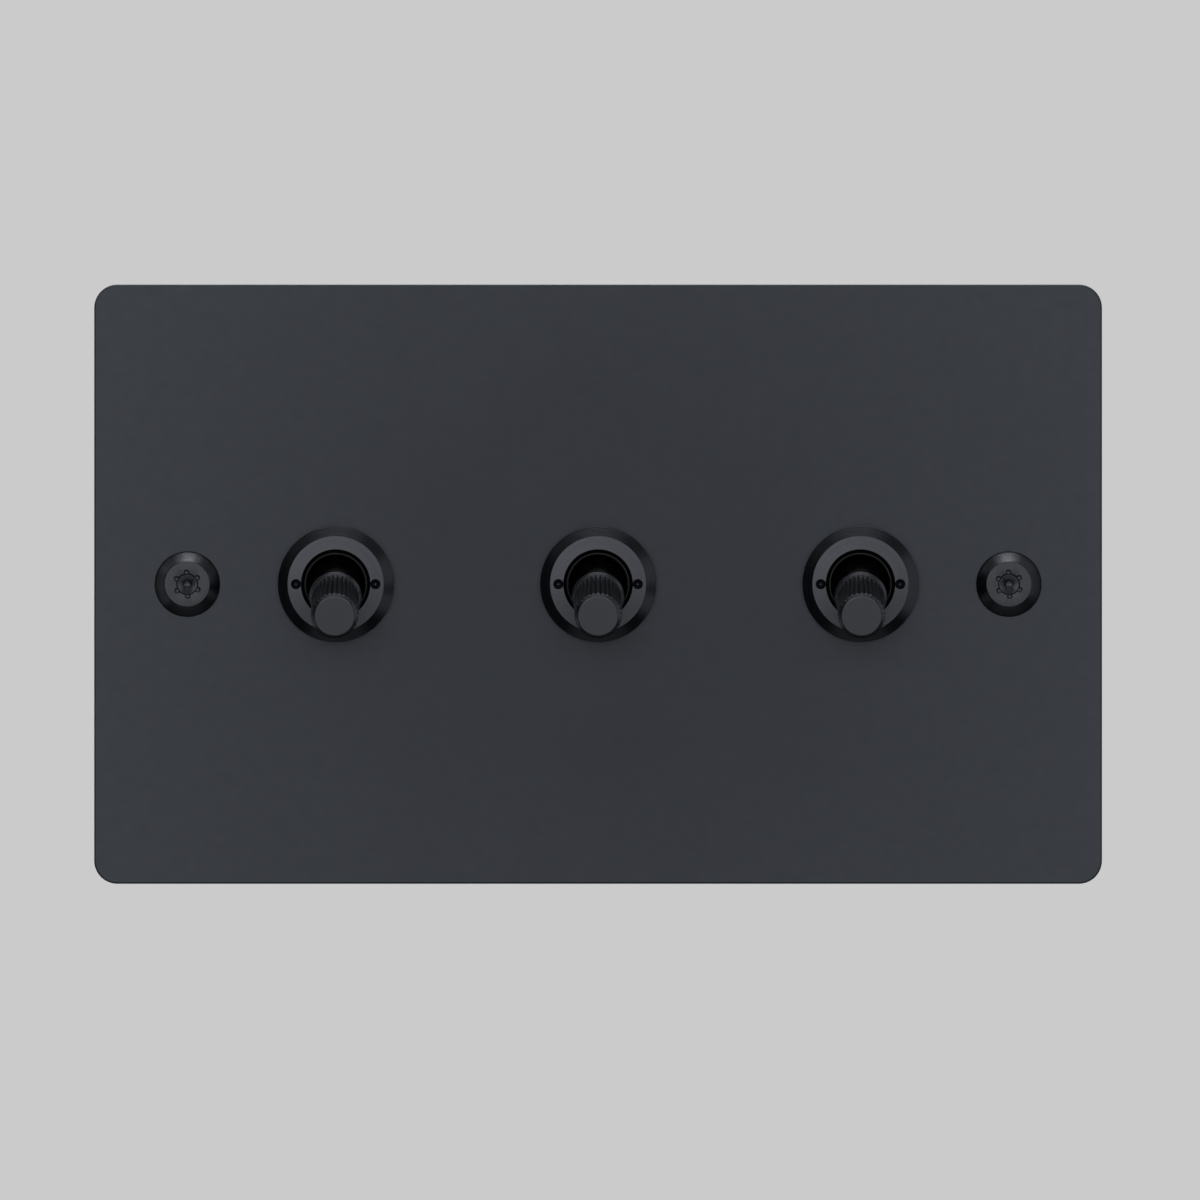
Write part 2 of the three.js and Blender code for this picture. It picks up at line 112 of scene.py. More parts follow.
low, high = node_box("right_fixing_screw")
SCREW_PLACE = (low.x + high.x) / 2
SCREW_HEAD = (high.x - low.x) / 2

low, high = node_box("middle_l1_terminal")
TERMINAL_PITCH = (low.z + high.z) / 2
TERMINAL_LENGTH = high.x - low.x
TERMINAL_REAR = high.y

SWITCH_PITCH = node_box("right_bezel_ring")[1].x - RING_RADIUS
TOGGLE_TILT = joint_range("middle_toggle_tilt") / 2
ROCKER_TILT = joint_range("middle_rocker_tilt") / 2


# ---- Outlines ----

def fillet(corners, closed=False):
    """A path through (a, b, radius) corners, rounded by arcs. An open path keeps its two ends."""
    steps = 5
    path = []
    count = len(corners)
    for i, (a, b, radius) in enumerate(corners):
        here = Vector((a, b))
        at_end = not closed and i in (0, count - 1)
        if radius <= 0 or at_end:
            path.append((a, b))
            continue
        back = (Vector(corners[i - 1][:2]) - here).normalized()
        ahead = (Vector(corners[(i + 1) % count][:2]) - here).normalized()
        half = back.angle(ahead) / 2
        centre = here + (back + ahead).normalized() * (radius / sin(half))
        start = here + back * (radius / tan(half)) - centre
        end = here + ahead * (radius / tan(half)) - centre
        sweep = pi - 2 * half
        for step in range(steps + 1):
            share = step / steps
            first = sin((1 - share) * sweep) / sin(sweep)
            last = sin(share * sweep) / sin(sweep)
            point = centre + start * first + end * last
            path.append((point.x, point.y))
    return path


def arc(centre_a, centre_b, radius, start, end, steps):
    """Points of an arc between two angles in degrees."""
    points = []
    for step in range(steps + 1):
        angle = radians(start + (end - start) * step / steps)
        points.append((centre_a + radius * cos(angle), centre_b + radius * sin(angle)))
    return points


def rounded_rectangle(width, height, radius):
    """A closed outline in X and Z."""
    steps = 10
    outline = []
    for quarter in range(4):
        across = 1 if quarter in (0, 3) else -1
        up = 1 if quarter in (0, 1) else -1
        start = 90 * quarter
        middle_x = across * (width / 2 - radius)
        middle_z = up * (height / 2 - radius)
        outline += arc(middle_x, middle_z, radius, start, start + 90, steps)
    return outline


# ---- Meshes ----

def skin_rings(rings, closed=False, caps=False):
    """A mesh over rings of points. A ring of one point is a pole."""
    bm = bmesh.new()
    rows = [[bm.verts.new(point) for point in ring] for ring in rings]
    pairs = list(zip(rows, rows[1:]))
    if closed:
        pairs.append((rows[-1], rows[0]))
    for low, high in pairs:
        for i in range(max(len(low), len(high))):
            corners = [low[i % len(low)], low[(i + 1) % len(low)]]
            corners += [high[(i + 1) % len(high)], high[i % len(high)]]
            bm.faces.new(list(dict.fromkeys(corners)))
    if caps:
        bm.faces.new(rows[0])
        bm.faces.new(rows[-1])
    bmesh.ops.recalc_face_normals(bm, faces=bm.faces)
    return bm


def ring(radius, y, segments):
    """A circle round the Y axis, or its centre where the radius is nothing."""
    if radius < 1e-6:
        return [(0, y, 0)]
    turn = [2 * pi * i / segments for i in range(segments)]
    return [(radius * sin(a), y, radius * cos(a)) for a in turn]


def rings(profile, segments):
    """The rings of a profile of (radius, y) points."""
    return [ring(radius, y, segments) for radius, y in profile]


def lathe(profile, segments=FINE, closed=False):
    """A profile turned round the Y axis."""
    return skin_rings(rings(profile, segments), closed=closed)


def thread(radius, depth, pitch, start, end, segments):
    """The rings of a right-handed thread with run-outs. A negative depth cuts outwards."""
    per_turn = 8
    low, high = min(start, end), max(start, end)
    count = round((high - low) / pitch * per_turn)
    rows = []
    for i in range(count + 1):
        y = low + (high - low) * i / count
        run_out = min(1, (y - low) / pitch, (high - y) / pitch)
        row = []
        for j in range(segments):
            turn = j / segments
            phase = ((y - low) / pitch - turn) % 1
            cut = depth * run_out * (1 - abs(2 * phase - 1))
            angle = 2 * pi * turn
            row.append(((radius - cut) * sin(angle), y, (radius - cut) * cos(angle)))
        rows.append(row)
    return rows if start < end else rows[::-1]


def slab(width, height, corner, start, end, edge, centre=(0, 0)):
    """A block with rounded corners and rounded edges, lying along Y."""
    steps = 4
    levels = []
    for step in range(steps + 1):
        angle = radians(90) * (1 - step / steps)
        levels.append((edge * (1 - sin(angle)), edge * (1 - cos(angle))))
    if edge == 0:
        levels = [(0, 0)]
    front = [(start + depth, inset) for depth, inset in levels]
    rear = [(end - depth, inset) for depth, inset in reversed(levels)]
    rows = []
    for y, inset in front + rear:
        outline = rounded_rectangle(width - 2 * inset, height - 2 * inset, corner - inset)
        rows.append([(x + centre[0], y, z + centre[1]) for x, z in outline])
    return skin_rings(rows, caps=True)


def turned(bm, angle, axis):
    """The mesh, turned about one axis."""
    bmesh.ops.rotate(bm, verts=bm.verts, matrix=Matrix.Rotation(angle, 3, axis))
    return bm


def along_x(bm):
    """A mesh that lies along Y, turned to lie along X."""
    return turned(bm, radians(-90), "Z")


def moved(bm, x, y=0, z=0):
    """The mesh, moved."""
    bmesh.ops.translate(bm, verts=bm.verts, vec=(x, y, z))
    return bm


def mouth(radius, face, outward, flare):
    """A hole's profile at one end, from its wall out past the face, or flat without a flare."""
    if flare == 0:
        return [(radius, face)]
    steps = 5
    points = []
    for step in range(steps + 1):
        angle = radians(90) * step / steps
        wider = flare * (1 - cos(angle))
        deeper = flare * (1 - sin(angle))
        points.append((radius + wider, face - outward * deeper))
    return points + [(radius + flare, face + outward * PAST)]


def drill(radius, start, end, flares, segments=MEDIUM):
    """A cutter for a round hole along Y, whose mouths are rounded by the flares at its two ends."""
    first = mouth(radius, start, -1, flares[0])[::-1]
    last = mouth(radius, end, 1, flares[1])
    return lathe([(0, first[0][1]), *first, *last, (0, last[-1][1])], segments)


def box(width, height, start, end, x=0, z=0, bevel=0.0):
    """A box given by its width, its height and its span in y, with its edges broken."""
    bm = bmesh.new()
    bmesh.ops.create_cube(bm, size=1)
    bmesh.ops.scale(bm, verts=bm.verts, vec=(width, end - start, height))
    moved(bm, x, (start + end) / 2, z)
    if bevel > 0:
        bmesh.ops.bevel(bm, geom=bm.edges, offset=bevel, segments=3, profile=0.5, affect="EDGES")
    return bm


def work_object(bm):
    """A passing object that holds the mesh while modifiers work on it."""
    mesh = bpy.data.meshes.new("work")
    bm.to_mesh(mesh)
    bm.free()
    obj = bpy.data.objects.new("work", mesh)
    scene.collection.objects.link(obj)
    return obj


def clear_work(*objects):
    """Removes passing objects and their meshes."""
    for obj in objects:
        mesh = obj.data
        bpy.data.objects.remove(obj)
        bpy.data.meshes.remove(mesh)


def combine(base, *steps):
    """The base cut by, or joined to, other meshes in turn: each step is ("cut" or "join", mesh)."""
    work = work_object(base)
    tools = []
    for action, bm in steps:
        tool = work_object(bm)
        modifier = work.modifiers.new(action, "BOOLEAN")
        modifier.operation = {"cut": "DIFFERENCE", "join": "UNION"}[action]
        modifier.solver = "EXACT"
        modifier.object = tool
        tools.append(tool)
    depsgraph = bpy.context.evaluated_depsgraph_get()
    result = bmesh.new()
    result.from_mesh(work.evaluated_get(depsgraph).to_mesh())
    clear_work(work, *tools)
    return result


def finished(bm, name, look):
    """The mesh in metres, smooth but for its sharp edges, with its flat faces shaded flat."""
    bmesh.ops.dissolve_degenerate(bm, dist=1e-4, edges=bm.edges)
    bmesh.ops.scale(bm, verts=bm.verts, vec=(MM, MM, MM))
    for face in bm.faces:
        face.smooth = True
    for edge in bm.edges:
        edge.smooth = edge.calc_face_angle(0) < SHARP
    work = work_object(bm)
    weighted = work.modifiers.new("normals", "WEIGHTED_NORMAL")
    weighted.keep_sharp = True
    depsgraph = bpy.context.evaluated_depsgraph_get()
    evaluated = work.evaluated_get(depsgraph)
    mesh = bpy.data.meshes.new_from_object(
        evaluated, preserve_all_data_layers=True, depsgraph=depsgraph
    )
    mesh.name = name
    mesh.materials.clear()
    mesh.materials.append(look)
    clear_work(work)
    return mesh


# ---- The plate and its fixings ----

PLATE_CORNER = 3.4
PLATE_RIM = 6
PLATE_EDGE = 0.3
BUSH_HOLE = 6.2
FIXING_HOLE = 2.1
HOLE_FLARES = (0.15, 0.15)


def front_plate():
    """The flat plate with its holes, and a shallow recess inside its rear rim."""
    plate = slab(PLATE_WIDTH, PLATE_HEIGHT, PLATE_CORNER, PLATE_FRONT, 0, PLATE_EDGE)
    width = PLATE_WIDTH - 2 * PLATE_RIM
    height = PLATE_HEIGHT - 2 * PLATE_RIM
    steps = [("cut", slab(width, height, PLATE_CORNER, RECESS_FLOOR, PAST, 0))]
    for x in (-SWITCH_PITCH, 0, SWITCH_PITCH):
        hole = drill(BUSH_HOLE, PLATE_FRONT, RECESS_FLOOR, HOLE_FLARES, FINE)
        steps.append(("cut", moved(hole, x)))
    for x in (-SCREW_PLACE, SCREW_PLACE):
        hole = drill(FIXING_HOLE, PLATE_FRONT, RECESS_FLOOR, HOLE_FLARES)
        steps.append(("cut", moved(hole, x)))
    return combine(plate, *steps)


HEAD_HEIGHT = 1.9
HEAD_BEVEL = 1.5
SHANK_RADIUS = 1.75
SHANK_LENGTH = 25
PLAIN_SHANK = 1.5
TIP_RADIUS = 1
TIP_LENGTH = 1
THREAD_DEPTH = 0.3
THREAD_PITCH = 0.6
DRIVE_RADIUS = 1.54
DRIVE_DEPTH = 1.1
DRIVE_DRAFT = 0.1
DRIVE_DISH = 0.2
DRIVE_FLARE = 0.12
LOBES = 6
LOBE_RADIUS = 0.42
LOBE_OFFSET = 1.74
LOBE_DEPTH = 0.15
LOBE_TURN = radians(-3)
DIMPLE_RADIUS = 0.68
DIMPLE_DEPTH = 0.2


def screw_head_and_shank():
    """The screw before its recess is cut: head, plain neck, thread and tapered tip."""
    face = -HEAD_HEIGHT
    head = fillet([
        (0, face, 0),
        (SCREW_HEAD - HEAD_BEVEL, face, 0.12),
        (SCREW_HEAD, face + HEAD_BEVEL, 0.6),
        (SCREW_HEAD, 0, 0.08),
        (SHANK_RADIUS, 0, 0.1),
        (SHANK_RADIUS, PLAIN_SHANK, 0),
    ])
    tip = SHANK_LENGTH - TIP_LENGTH
    thread_start = PLAIN_SHANK + 0.1
    rows = rings(head, FINE)
    rows += thread(SHANK_RADIUS, THREAD_DEPTH, THREAD_PITCH, thread_start, tip, FINE)
    tip_profile = [(SHANK_RADIUS - 0.1, tip + 0.2), (TIP_RADIUS, SHANK_LENGTH), (0, SHANK_LENGTH)]
    rows += rings(tip_profile, FINE)
    return skin_rings(rows)


def bowl(radius, depth, rim):
    """The profile of a shallow round hollow, from its deepest point to its rim at y = rim."""
    sphere = (radius ** 2 + depth ** 2) / (2 * depth)
    edge = degrees(acos(radius / sphere))
    return arc(0, rim + depth - sphere, sphere, 90, edge, 8)


def drive_recess():
    """The recess's round middle: a drafted wall, a dished floor and a hollow in its centre."""
    floor = DRIVE_DEPTH - HEAD_HEIGHT
    profile = bowl(DIMPLE_RADIUS, DIMPLE_DEPTH, floor)
    profile.append((DRIVE_RADIUS - DRIVE_DRAFT, floor - DRIVE_DISH))
    profile.append((DRIVE_RADIUS - DRIVE_DRAFT / 2, floor - 2 * DRIVE_DISH))
    profile += mouth(DRIVE_RADIUS, -HEAD_HEIGHT, -1, DRIVE_FLARE)
    return lathe(profile + [(0, profile[-1][1])], MEDIUM)


def drive_lobe(angle):
    """One of the recess's shallow lobes."""
    face = -HEAD_HEIGHT
    profile = bowl(LOBE_RADIUS, LOBE_DEPTH, face)
    profile += [(LOBE_RADIUS, face - PAST), (0, face - PAST)]
    lobe = lathe(profile, COARSE)
    return moved(lobe, LOBE_OFFSET * sin(angle), 0, LOBE_OFFSET * cos(angle))


def fixing_screw():
    """A bevelled screw head with a six-lobe recess, on a threaded shank."""
    steps = [("cut", drive_recess())]
    for i in range(LOBES):
        steps.append(("cut", drive_lobe(LOBE_TURN + 2 * pi * i / LOBES)))
    return combine(screw_head_and_shank(), *steps)


RETAINER_RADIUS = 4
RETAINER_THICKNESS = 1
SLITS = 6
SLIT_WIDTH = 0.35
SLIT_LENGTH = 1.1
SLIT_PLACE = 2.2


def washer(hole, radius, start, end, edge):
    """A flat ring with rounded edges."""
    corners = [(hole, start, edge), (radius, start, edge), (radius, end, edge), (hole, end, edge)]
    return lathe(fillet(corners, closed=True), closed=True)


def screw_retainer():
    """A nylon washer slit round its bore so that it grips the screw's thread."""
    end = RECESS_FLOOR + RETAINER_THICKNESS
    disc = washer(SHANK_RADIUS + 0.05, RETAINER_RADIUS, RECESS_FLOOR, end, 0.15)
    steps = []
    for i in range(SLITS):
        slit = box(SLIT_WIDTH, SLIT_LENGTH, RECESS_FLOOR - PAST, end + PAST, 0, SLIT_PLACE)
        steps.append(("cut", turned(slit, 2 * pi * i / SLITS, "Y")))
    return combine(disc, *steps)


# ---- The fixed pieces of one switch ----

RING_OPENING = 5
RING_BEVEL_WIDTH = 1.45
RING_BEVEL_HEIGHT = 1.22
RING_LIP = 1.6
RING_FALL = 0.2
RING_LEAD = 0.3
RING_FOOT = 0.1
THREAD_BORE = 6.1
BORE_THREAD_DEPTH = 0.25
BUSH_PITCH = 0.75
SPANNER_RADIUS = 0.75
SPANNER_OFFSET = 5.83
SPANNER_DEPTH = 1.3
SPANNER_CONE = 0.6
SPANNER_POINT = 0.1
SPANNER_FLARE = 0.06


def bezel_ring():
    """The ring nut. Its face falls away slightly to its rim. A lip hides its threaded bore."""
    lip = RING_FACE + RING_LIP
    outer = [
        (THREAD_BORE, PLATE_FRONT - RING_LEAD, 0),
        (THREAD_BORE + RING_LEAD, PLATE_FRONT, 0),
        (RING_RADIUS - RING_FOOT, PLATE_FRONT, 0),
        (RING_RADIUS, PLATE_FRONT - RING_FOOT, 0),
        (RING_RADIUS, RING_FACE + RING_BEVEL_HEIGHT, 0.12),
        (RING_RADIUS - RING_BEVEL_WIDTH, RING_FACE + RING_FALL, 0.06),
        (RING_OPENING, RING_FACE, 0.14),
        (RING_OPENING, lip, 0),
        (THREAD_BORE, lip, 0),
    ]
    thread_end = PLATE_FRONT - RING_LEAD - 0.05
    rows = rings(fillet(outer), FINE)
    rows += thread(THREAD_BORE, -BORE_THREAD_DEPTH, BUSH_PITCH, lip + 0.05, thread_end, FINE)
    steps = []
    for x in (-SPANNER_OFFSET, SPANNER_OFFSET):
        floor = RING_FACE + SPANNER_DEPTH
        hole = mouth(SPANNER_RADIUS, RING_FACE, -1, SPANNER_FLARE)[::-1]
        cone = [(SPANNER_RADIUS, floor - SPANNER_CONE), (SPANNER_POINT, floor), (0, floor)]
        steps.append(("cut", moved(lathe([(0, hole[0][1]), *hole, *cone], COARSE), x)))
    return combine(skin_rings(rows, closed=True), *steps)


BUSH_RADIUS = 6
BUSH_BORE = 4.3
BUSH_MOUTH = 4.59
BUSH_CHAMFER = 1.1
BUSH_THREAD_DEPTH = 0.4
FLANGE_CORNER = 2
FLANGE_EDGE = 0.2
PIVOT_DEPTH = 0.6
PIVOT_PIN = 0.75
PIN_EDGE = 0.15
PIN_HOLE = PIVOT_PIN + 0.05


def bush():
    """The threaded bush: a narrow land round its mouth, a chamfer outside it, a flange behind."""
    plain_end = FLANGE_END - FLANGE_EDGE
    outside = [
        (BUSH_BORE, plain_end, 0),
        (BUSH_BORE, BUSH_FRONT, 0.15),
        (BUSH_MOUTH, BUSH_FRONT, 0.04),
        (BUSH_RADIUS, BUSH_FRONT + BUSH_CHAMFER, 0),
    ]
    thread_start = BUSH_FRONT + BUSH_CHAMFER + 0.05
    thread_end = FLANGE_START - 0.2
    rows = rings(fillet(outside), FINE)
    rows += thread(BUSH_RADIUS, BUSH_THREAD_DEPTH, BUSH_PITCH, thread_start, thread_end, FINE)
    rows += rings([(BUSH_RADIUS, FLANGE_START + 0.2), (BUSH_RADIUS, plain_end)], FINE)
    flange_size = (FLANGE_WIDTH, FLANGE_HEIGHT, FLANGE_CORNER)
    flange = slab(*flange_size, FLANGE_START, FLANGE_END, FLANGE_EDGE)
    bore = drill(BUSH_BORE, FLANGE_START, FLANGE_END, (0, FLANGE_EDGE), FINE)
    pin_hole = along_x(drill(PIN_HOLE, -FLANGE_WIDTH, FLANGE_WIDTH, (0, 0), COARSE))
    flange = combine(flange, ("cut", bore))
    return combine(
        skin_rings(rows, closed=True),
        ("join", flange),
        ("cut", moved(pin_hole, 0, PIVOT_DEPTH)),
    )


def seal_ring():
    """The fibre washer between the bush's flange and the plate."""
    return washer(BUSH_RADIUS + 0.1, SEAL_RADIUS, RECESS_FLOOR, FLANGE_START, 0.12)


def pivot_pin():
    """The cross pin that the toggle turns on, with broken edges."""
    low, high = node_box("middle_pivot_pin")
    profile = [
        (0, low.x),
        (PIVOT_PIN - PIN_EDGE, low.x),
        (PIVOT_PIN, low.x + PIN_EDGE),
        (PIVOT_PIN, high.x - PIN_EDGE),
        (PIVOT_PIN - PIN_EDGE, high.x),
        (0, high.x),
    ]
    return moved(along_x(lathe(profile, COARSE)), 0, PIVOT_DEPTH)


HOUSING_WIDTH = 18
HOUSING_CORNER = 1.5
COVER_END = 9
COVER_WALL = 1.6
CHAMBER_WIDTH = 12
CHAMBER_HEIGHT = 25
CHAMBER_END = 15
NOSE_HOLE = 4.6
NOSE_HOLE_FLARES = (0.25, 0.2)
HOOK_WIDTH = 8
HOOK_THICKNESS = 1.8
HOOK_FRONT = 0.3
HOOK_GAP = 0.15
HOOK_LIP = 0.6
TONGUE_WIDTH = 8
TONGUE_THICKNESS = 1.2
TONGUE_FRONT = 4.6
TONGUE_REAR = 13
WINDOW_WIDTH = 5
WINDOW_FRONT = 6
WINDOW_REAR = 8
CATCH_THICKNESS = 1.8
CATCH_WIDTH = 4.4


def housing_cover():
    """The front shell with its nose hole, its two flange hooks and its two side catches."""
    shell = slab(HOUSING_WIDTH, HOUSING_HEIGHT, HOUSING_CORNER, FLANGE_END, COVER_END, 0.25)
    wall_end = FLANGE_END + COVER_WALL
    hollow = slab(CHAMBER_WIDTH + 1, CHAMBER_HEIGHT + 1, 0.8, wall_end, COVER_END + PAST, 0)
    nose_hole = drill(NOSE_HOLE, FLANGE_END, wall_end, NOSE_HOLE_FLARES)
    hook_centre = (FLANGE_HEIGHT + HOOK_THICKNESS) / 2 + HOOK_GAP
    stem_size = (HOOK_WIDTH, HOOK_THICKNESS, 0.3)
    lip_size = (HOOK_WIDTH - 0.02, HOOK_THICKNESS, 0.25)
    lip_span = (HOOK_FRONT + 0.01, FLANGE_START - HOOK_GAP)
    catch_span = (WINDOW_FRONT + HOOK_GAP, WINDOW_REAR - HOOK_GAP)
    steps = [("cut", hollow), ("cut", nose_hole)]
    for side in (-1, 1):
        stem = slab(*stem_size, HOOK_FRONT, FLANGE_END + 0.5, 0.2, (0, side * hook_centre))
        lip = slab(*lip_size, *lip_span, 0.12, (0, side * (hook_centre - HOOK_LIP)))
        catch_place = side * HOUSING_WIDTH / 2
        catch = box(CATCH_THICKNESS, CATCH_WIDTH, *catch_span, catch_place, 0, 0.2)
        steps += [("join", stem), ("join", lip), ("join", catch)]
    return combine(shell, *steps)


WIRE_INSET = 3.5
WIRE_ENTRY = 2.3
POCKET_HEIGHT = 8.2
POCKET_DEPTH = 7.1
POST_WIDTH = 3
POST_HEIGHT = 2.2
OUTER_POST = 8.7
POCKET_GAP = 0.4
ENTRY_FLARES = (0.5, 0.5)
TERMINALS = (("l1", 1), ("com", 0), ("l2", -1))


def side_tongue(side):
    """A spring tongue on the base's side, with a window for the cover's catch."""
    centre = side * (HOUSING_WIDTH + TONGUE_THICKNESS) / 2
    inner = centre - side * (TONGUE_THICKNESS / 2 + 0.3)
    tongue = box(TONGUE_THICKNESS, TONGUE_WIDTH, TONGUE_FRONT, TONGUE_REAR, centre, 0, 0.2)
    window_size = (3 * TONGUE_THICKNESS, WINDOW_WIDTH, 0.4)
    window = slab(*window_size, WINDOW_FRONT, WINDOW_REAR, 0, (centre, 0))
    root_span = (COVER_END + 0.5, TONGUE_REAR - 0.3)
    root = box(1.0, TONGUE_WIDTH - 0.4, *root_span, inner + side * 0.2)
    return combine(tongue, ("cut", window), ("join", root))


def housing_base():
    """The rear shell with the rocker's chamber, the terminals' pockets and the wires' entries."""
    steps = [("cut", slab(CHAMBER_WIDTH, CHAMBER_HEIGHT, 0.6, COVER_END - PAST, CHAMBER_END, 0))]
    pocket_start = TERMINAL_REAR - POCKET_DEPTH
    wire_depth = TERMINAL_REAR - WIRE_INSET
    half = HOUSING_WIDTH / 2
    pocket_size = (TERMINAL_LENGTH + 2 * POCKET_GAP, POCKET_HEIGHT, 0.5)
    pocket_span = (pocket_start, HOUSING_END + PAST)
    slot_size = (POST_WIDTH + POCKET_GAP, POST_HEIGHT + POCKET_GAP, 0.2)
    slot_span = (CHAMBER_END - PAST, pocket_start + PAST)
    for _, place in TERMINALS:
        z = place * TERMINAL_PITCH
        pocket = slab(*pocket_size, *pocket_span, 0, (0, z))
        slot = slab(*slot_size, *slot_span, 0, (0, place * OUTER_POST))
        entry = moved(along_x(drill(WIRE_ENTRY, -half, half, ENTRY_FLARES)), 0, wire_depth, z)
        steps += [("cut", pocket), ("cut", slot), ("cut", entry)]
    steps += [("join", side_tongue(-1)), ("join", side_tongue(1))]
    shell = slab(HOUSING_WIDTH, HOUSING_HEIGHT, HOUSING_CORNER, COVER_END, HOUSING_END, 0.35)
    return combine(shell, *steps)


# ---- The toggle, drawn along Y with its pivot at the origin ----

BALL_RADIUS = 4.27
NECK_RADIUS = 2
TAIL_RADIUS = 2.8
TAIL_START = 3.2
TAIL_REACH = 7.5
TAIL_BORE = 1.8
TAIL_BORE_START = 1.7
COLLAR_REACH = 7.15
COLLAR_THICKNESS = 0.8
COLLAR_RADIUS = 3.875
COLLAR_CHAMFER = 0.36
KNOB_RADIUS = 3.47
KNOB_REACH = 18.2
CHAMFER_WIDTH = 0.52
CHAMFER_LENGTH = 0.42
GROOVES = 28
GROOVE_DEPTH = 0.25
RIDGE_STEPS = 14
FACE_INSET = 0.08
FACE_PROUD = 0.025
FACE_RIM = 0.06
STUD_RADIUS = 1.6
STUD_REACH = 13
STUD_TIP = 0.3
STUD_GAP = 0.05
STUD_PITCH = 0.6
STUD_THREAD_DEPTH = 0.25


def toggle_lever():
    """A ball on a neck, with a threaded stud in front and a bored tail behind."""
    stud_end = COLLAR_REACH - 0.1
    ball_start = degrees(asin(NECK_RADIUS / BALL_RADIUS))
    ball_end = 180 - degrees(asin(TAIL_RADIUS / BALL_RADIUS))
    thread_span = (-STUD_REACH + STUD_TIP, -stud_end - STUD_TIP)
    rows = rings([(0, -STUD_REACH), (STUD_RADIUS - STUD_TIP, -STUD_REACH)], MEDIUM)
    rows += thread(STUD_RADIUS, STUD_THREAD_DEPTH, STUD_PITCH, *thread_span, MEDIUM)
    neck_end = -BALL_RADIUS * cos(radians(ball_start)) - 0.15
    shoulder = fillet([
        (STUD_RADIUS, -stud_end, 0),
        (NECK_RADIUS, -stud_end, 0.1),
        (NECK_RADIUS, neck_end, 0),
    ])
    ball = [(y, -z) for z, y in arc(0, 0, BALL_RADIUS, ball_start, ball_end, 28)]
    tail = fillet([
        (TAIL_RADIUS, TAIL_START, 0),
        (TAIL_RADIUS, TAIL_REACH, 0.2),
        (TAIL_BORE, TAIL_REACH, 0.2),
        (TAIL_BORE, TAIL_BORE_START, 0),
    ])
    rows += rings(shoulder + ball + tail + [(0, TAIL_BORE_START)], MEDIUM)
    pin_hole = along_x(drill(PIN_HOLE, -BALL_RADIUS, BALL_RADIUS, (0.2, 0.2), COARSE))
    return combine(skin_rings(rows), ("cut", pin_hole))


def knurled_ring(envelope, y):
    """A ring of rounded ridges parted by narrow grooves, cut down to the envelope's radius."""
    points = []
    for i in range(GROOVES * RIDGE_STEPS):
        across = 2 * ((i + RIDGE_STEPS / 2) % RIDGE_STEPS) / RIDGE_STEPS - 1
        radius = min(envelope, KNOB_RADIUS - GROOVE_DEPTH * abs(across) ** 3)
        angle = 2 * pi * i / (GROOVES * RIDGE_STEPS)
        points.append((radius * sin(angle), y, radius * cos(angle)))
    return points


def toggle_knob():
    """The knurled barrel and its collar, bored for the lever's stud."""
    segments = GROOVES * RIDGE_STEPS
    bore = STUD_RADIUS + STUD_GAP
    bore_end = -STUD_REACH - 0.3
    front = -COLLAR_REACH - COLLAR_THICKNESS
    bore_and_collar = [
        (0, bore_end - 0.6, 0),
        (bore, bore_end, 0),
        (bore, -COLLAR_REACH, 0.15),
        (COLLAR_RADIUS, -COLLAR_REACH, 0.1),
        (COLLAR_RADIUS, front + COLLAR_CHAMFER, 0.12),
        (COLLAR_RADIUS - COLLAR_CHAMFER, front, 0.05),
        (KNOB_RADIUS + 0.01, front, 0),
    ]
    rows = rings(fillet(bore_and_collar), segments)
    rows.append(knurled_ring(KNOB_RADIUS - GROOVE_DEPTH, front))
    rows.append(knurled_ring(KNOB_RADIUS, front - 0.08))
    steps = 6
    for i in range(steps + 1):
        radius = KNOB_RADIUS - CHAMFER_WIDTH * i / steps
        rows.append(knurled_ring(radius, CHAMFER_LENGTH * (1 - i / steps) - KNOB_REACH))
    # A narrow ring inside the face's edge keeps the rounding's shading off the flat face.
    flat_radius = KNOB_RADIUS - CHAMFER_WIDTH - FACE_INSET
    tip = -KNOB_REACH - FACE_PROUD
    face = [(flat_radius, tip), (flat_radius - FACE_RIM, tip), (0, tip)]
    return skin_rings(rows + rings(face, segments))


PLUNGER_RADIUS = 1.7
PLUNGER_START = 5
PLUNGER_SHOULDER = 7.2
NOSE_RADIUS = 1.2
NOSE_CENTRE = 9.8
SPIGOT_RADIUS = 0.9
SPIGOT_LENGTH = 1.4


def plunger():
    """The brass plunger: a spigot inside the spring, a guided body and a round nose."""
    body = fillet([
        (0, PLUNGER_START - SPIGOT_LENGTH, 0),
        (SPIGOT_RADIUS, PLUNGER_START - SPIGOT_LENGTH, 0.2),
        (SPIGOT_RADIUS, PLUNGER_START, 0.08),
        (PLUNGER_RADIUS, PLUNGER_START, 0.12),
        (PLUNGER_RADIUS, PLUNGER_SHOULDER, 0.15),
        (NOSE_RADIUS, PLUNGER_SHOULDER, 0.08),
        (NOSE_RADIUS, NOSE_CENTRE, 0),
    ])
    nose = arc(0, NOSE_CENTRE, NOSE_RADIUS, 0, 90, 16)
    return lathe(body + nose[1:-1] + [(0, NOSE_CENTRE + NOSE_RADIUS)], MEDIUM)


SPRING_RADIUS = 1.35
WIRE_RADIUS = 0.18
SPRING_TURNS = 6
CLOSED_TURNS = 1.0
SPRING_GAP = 0.05


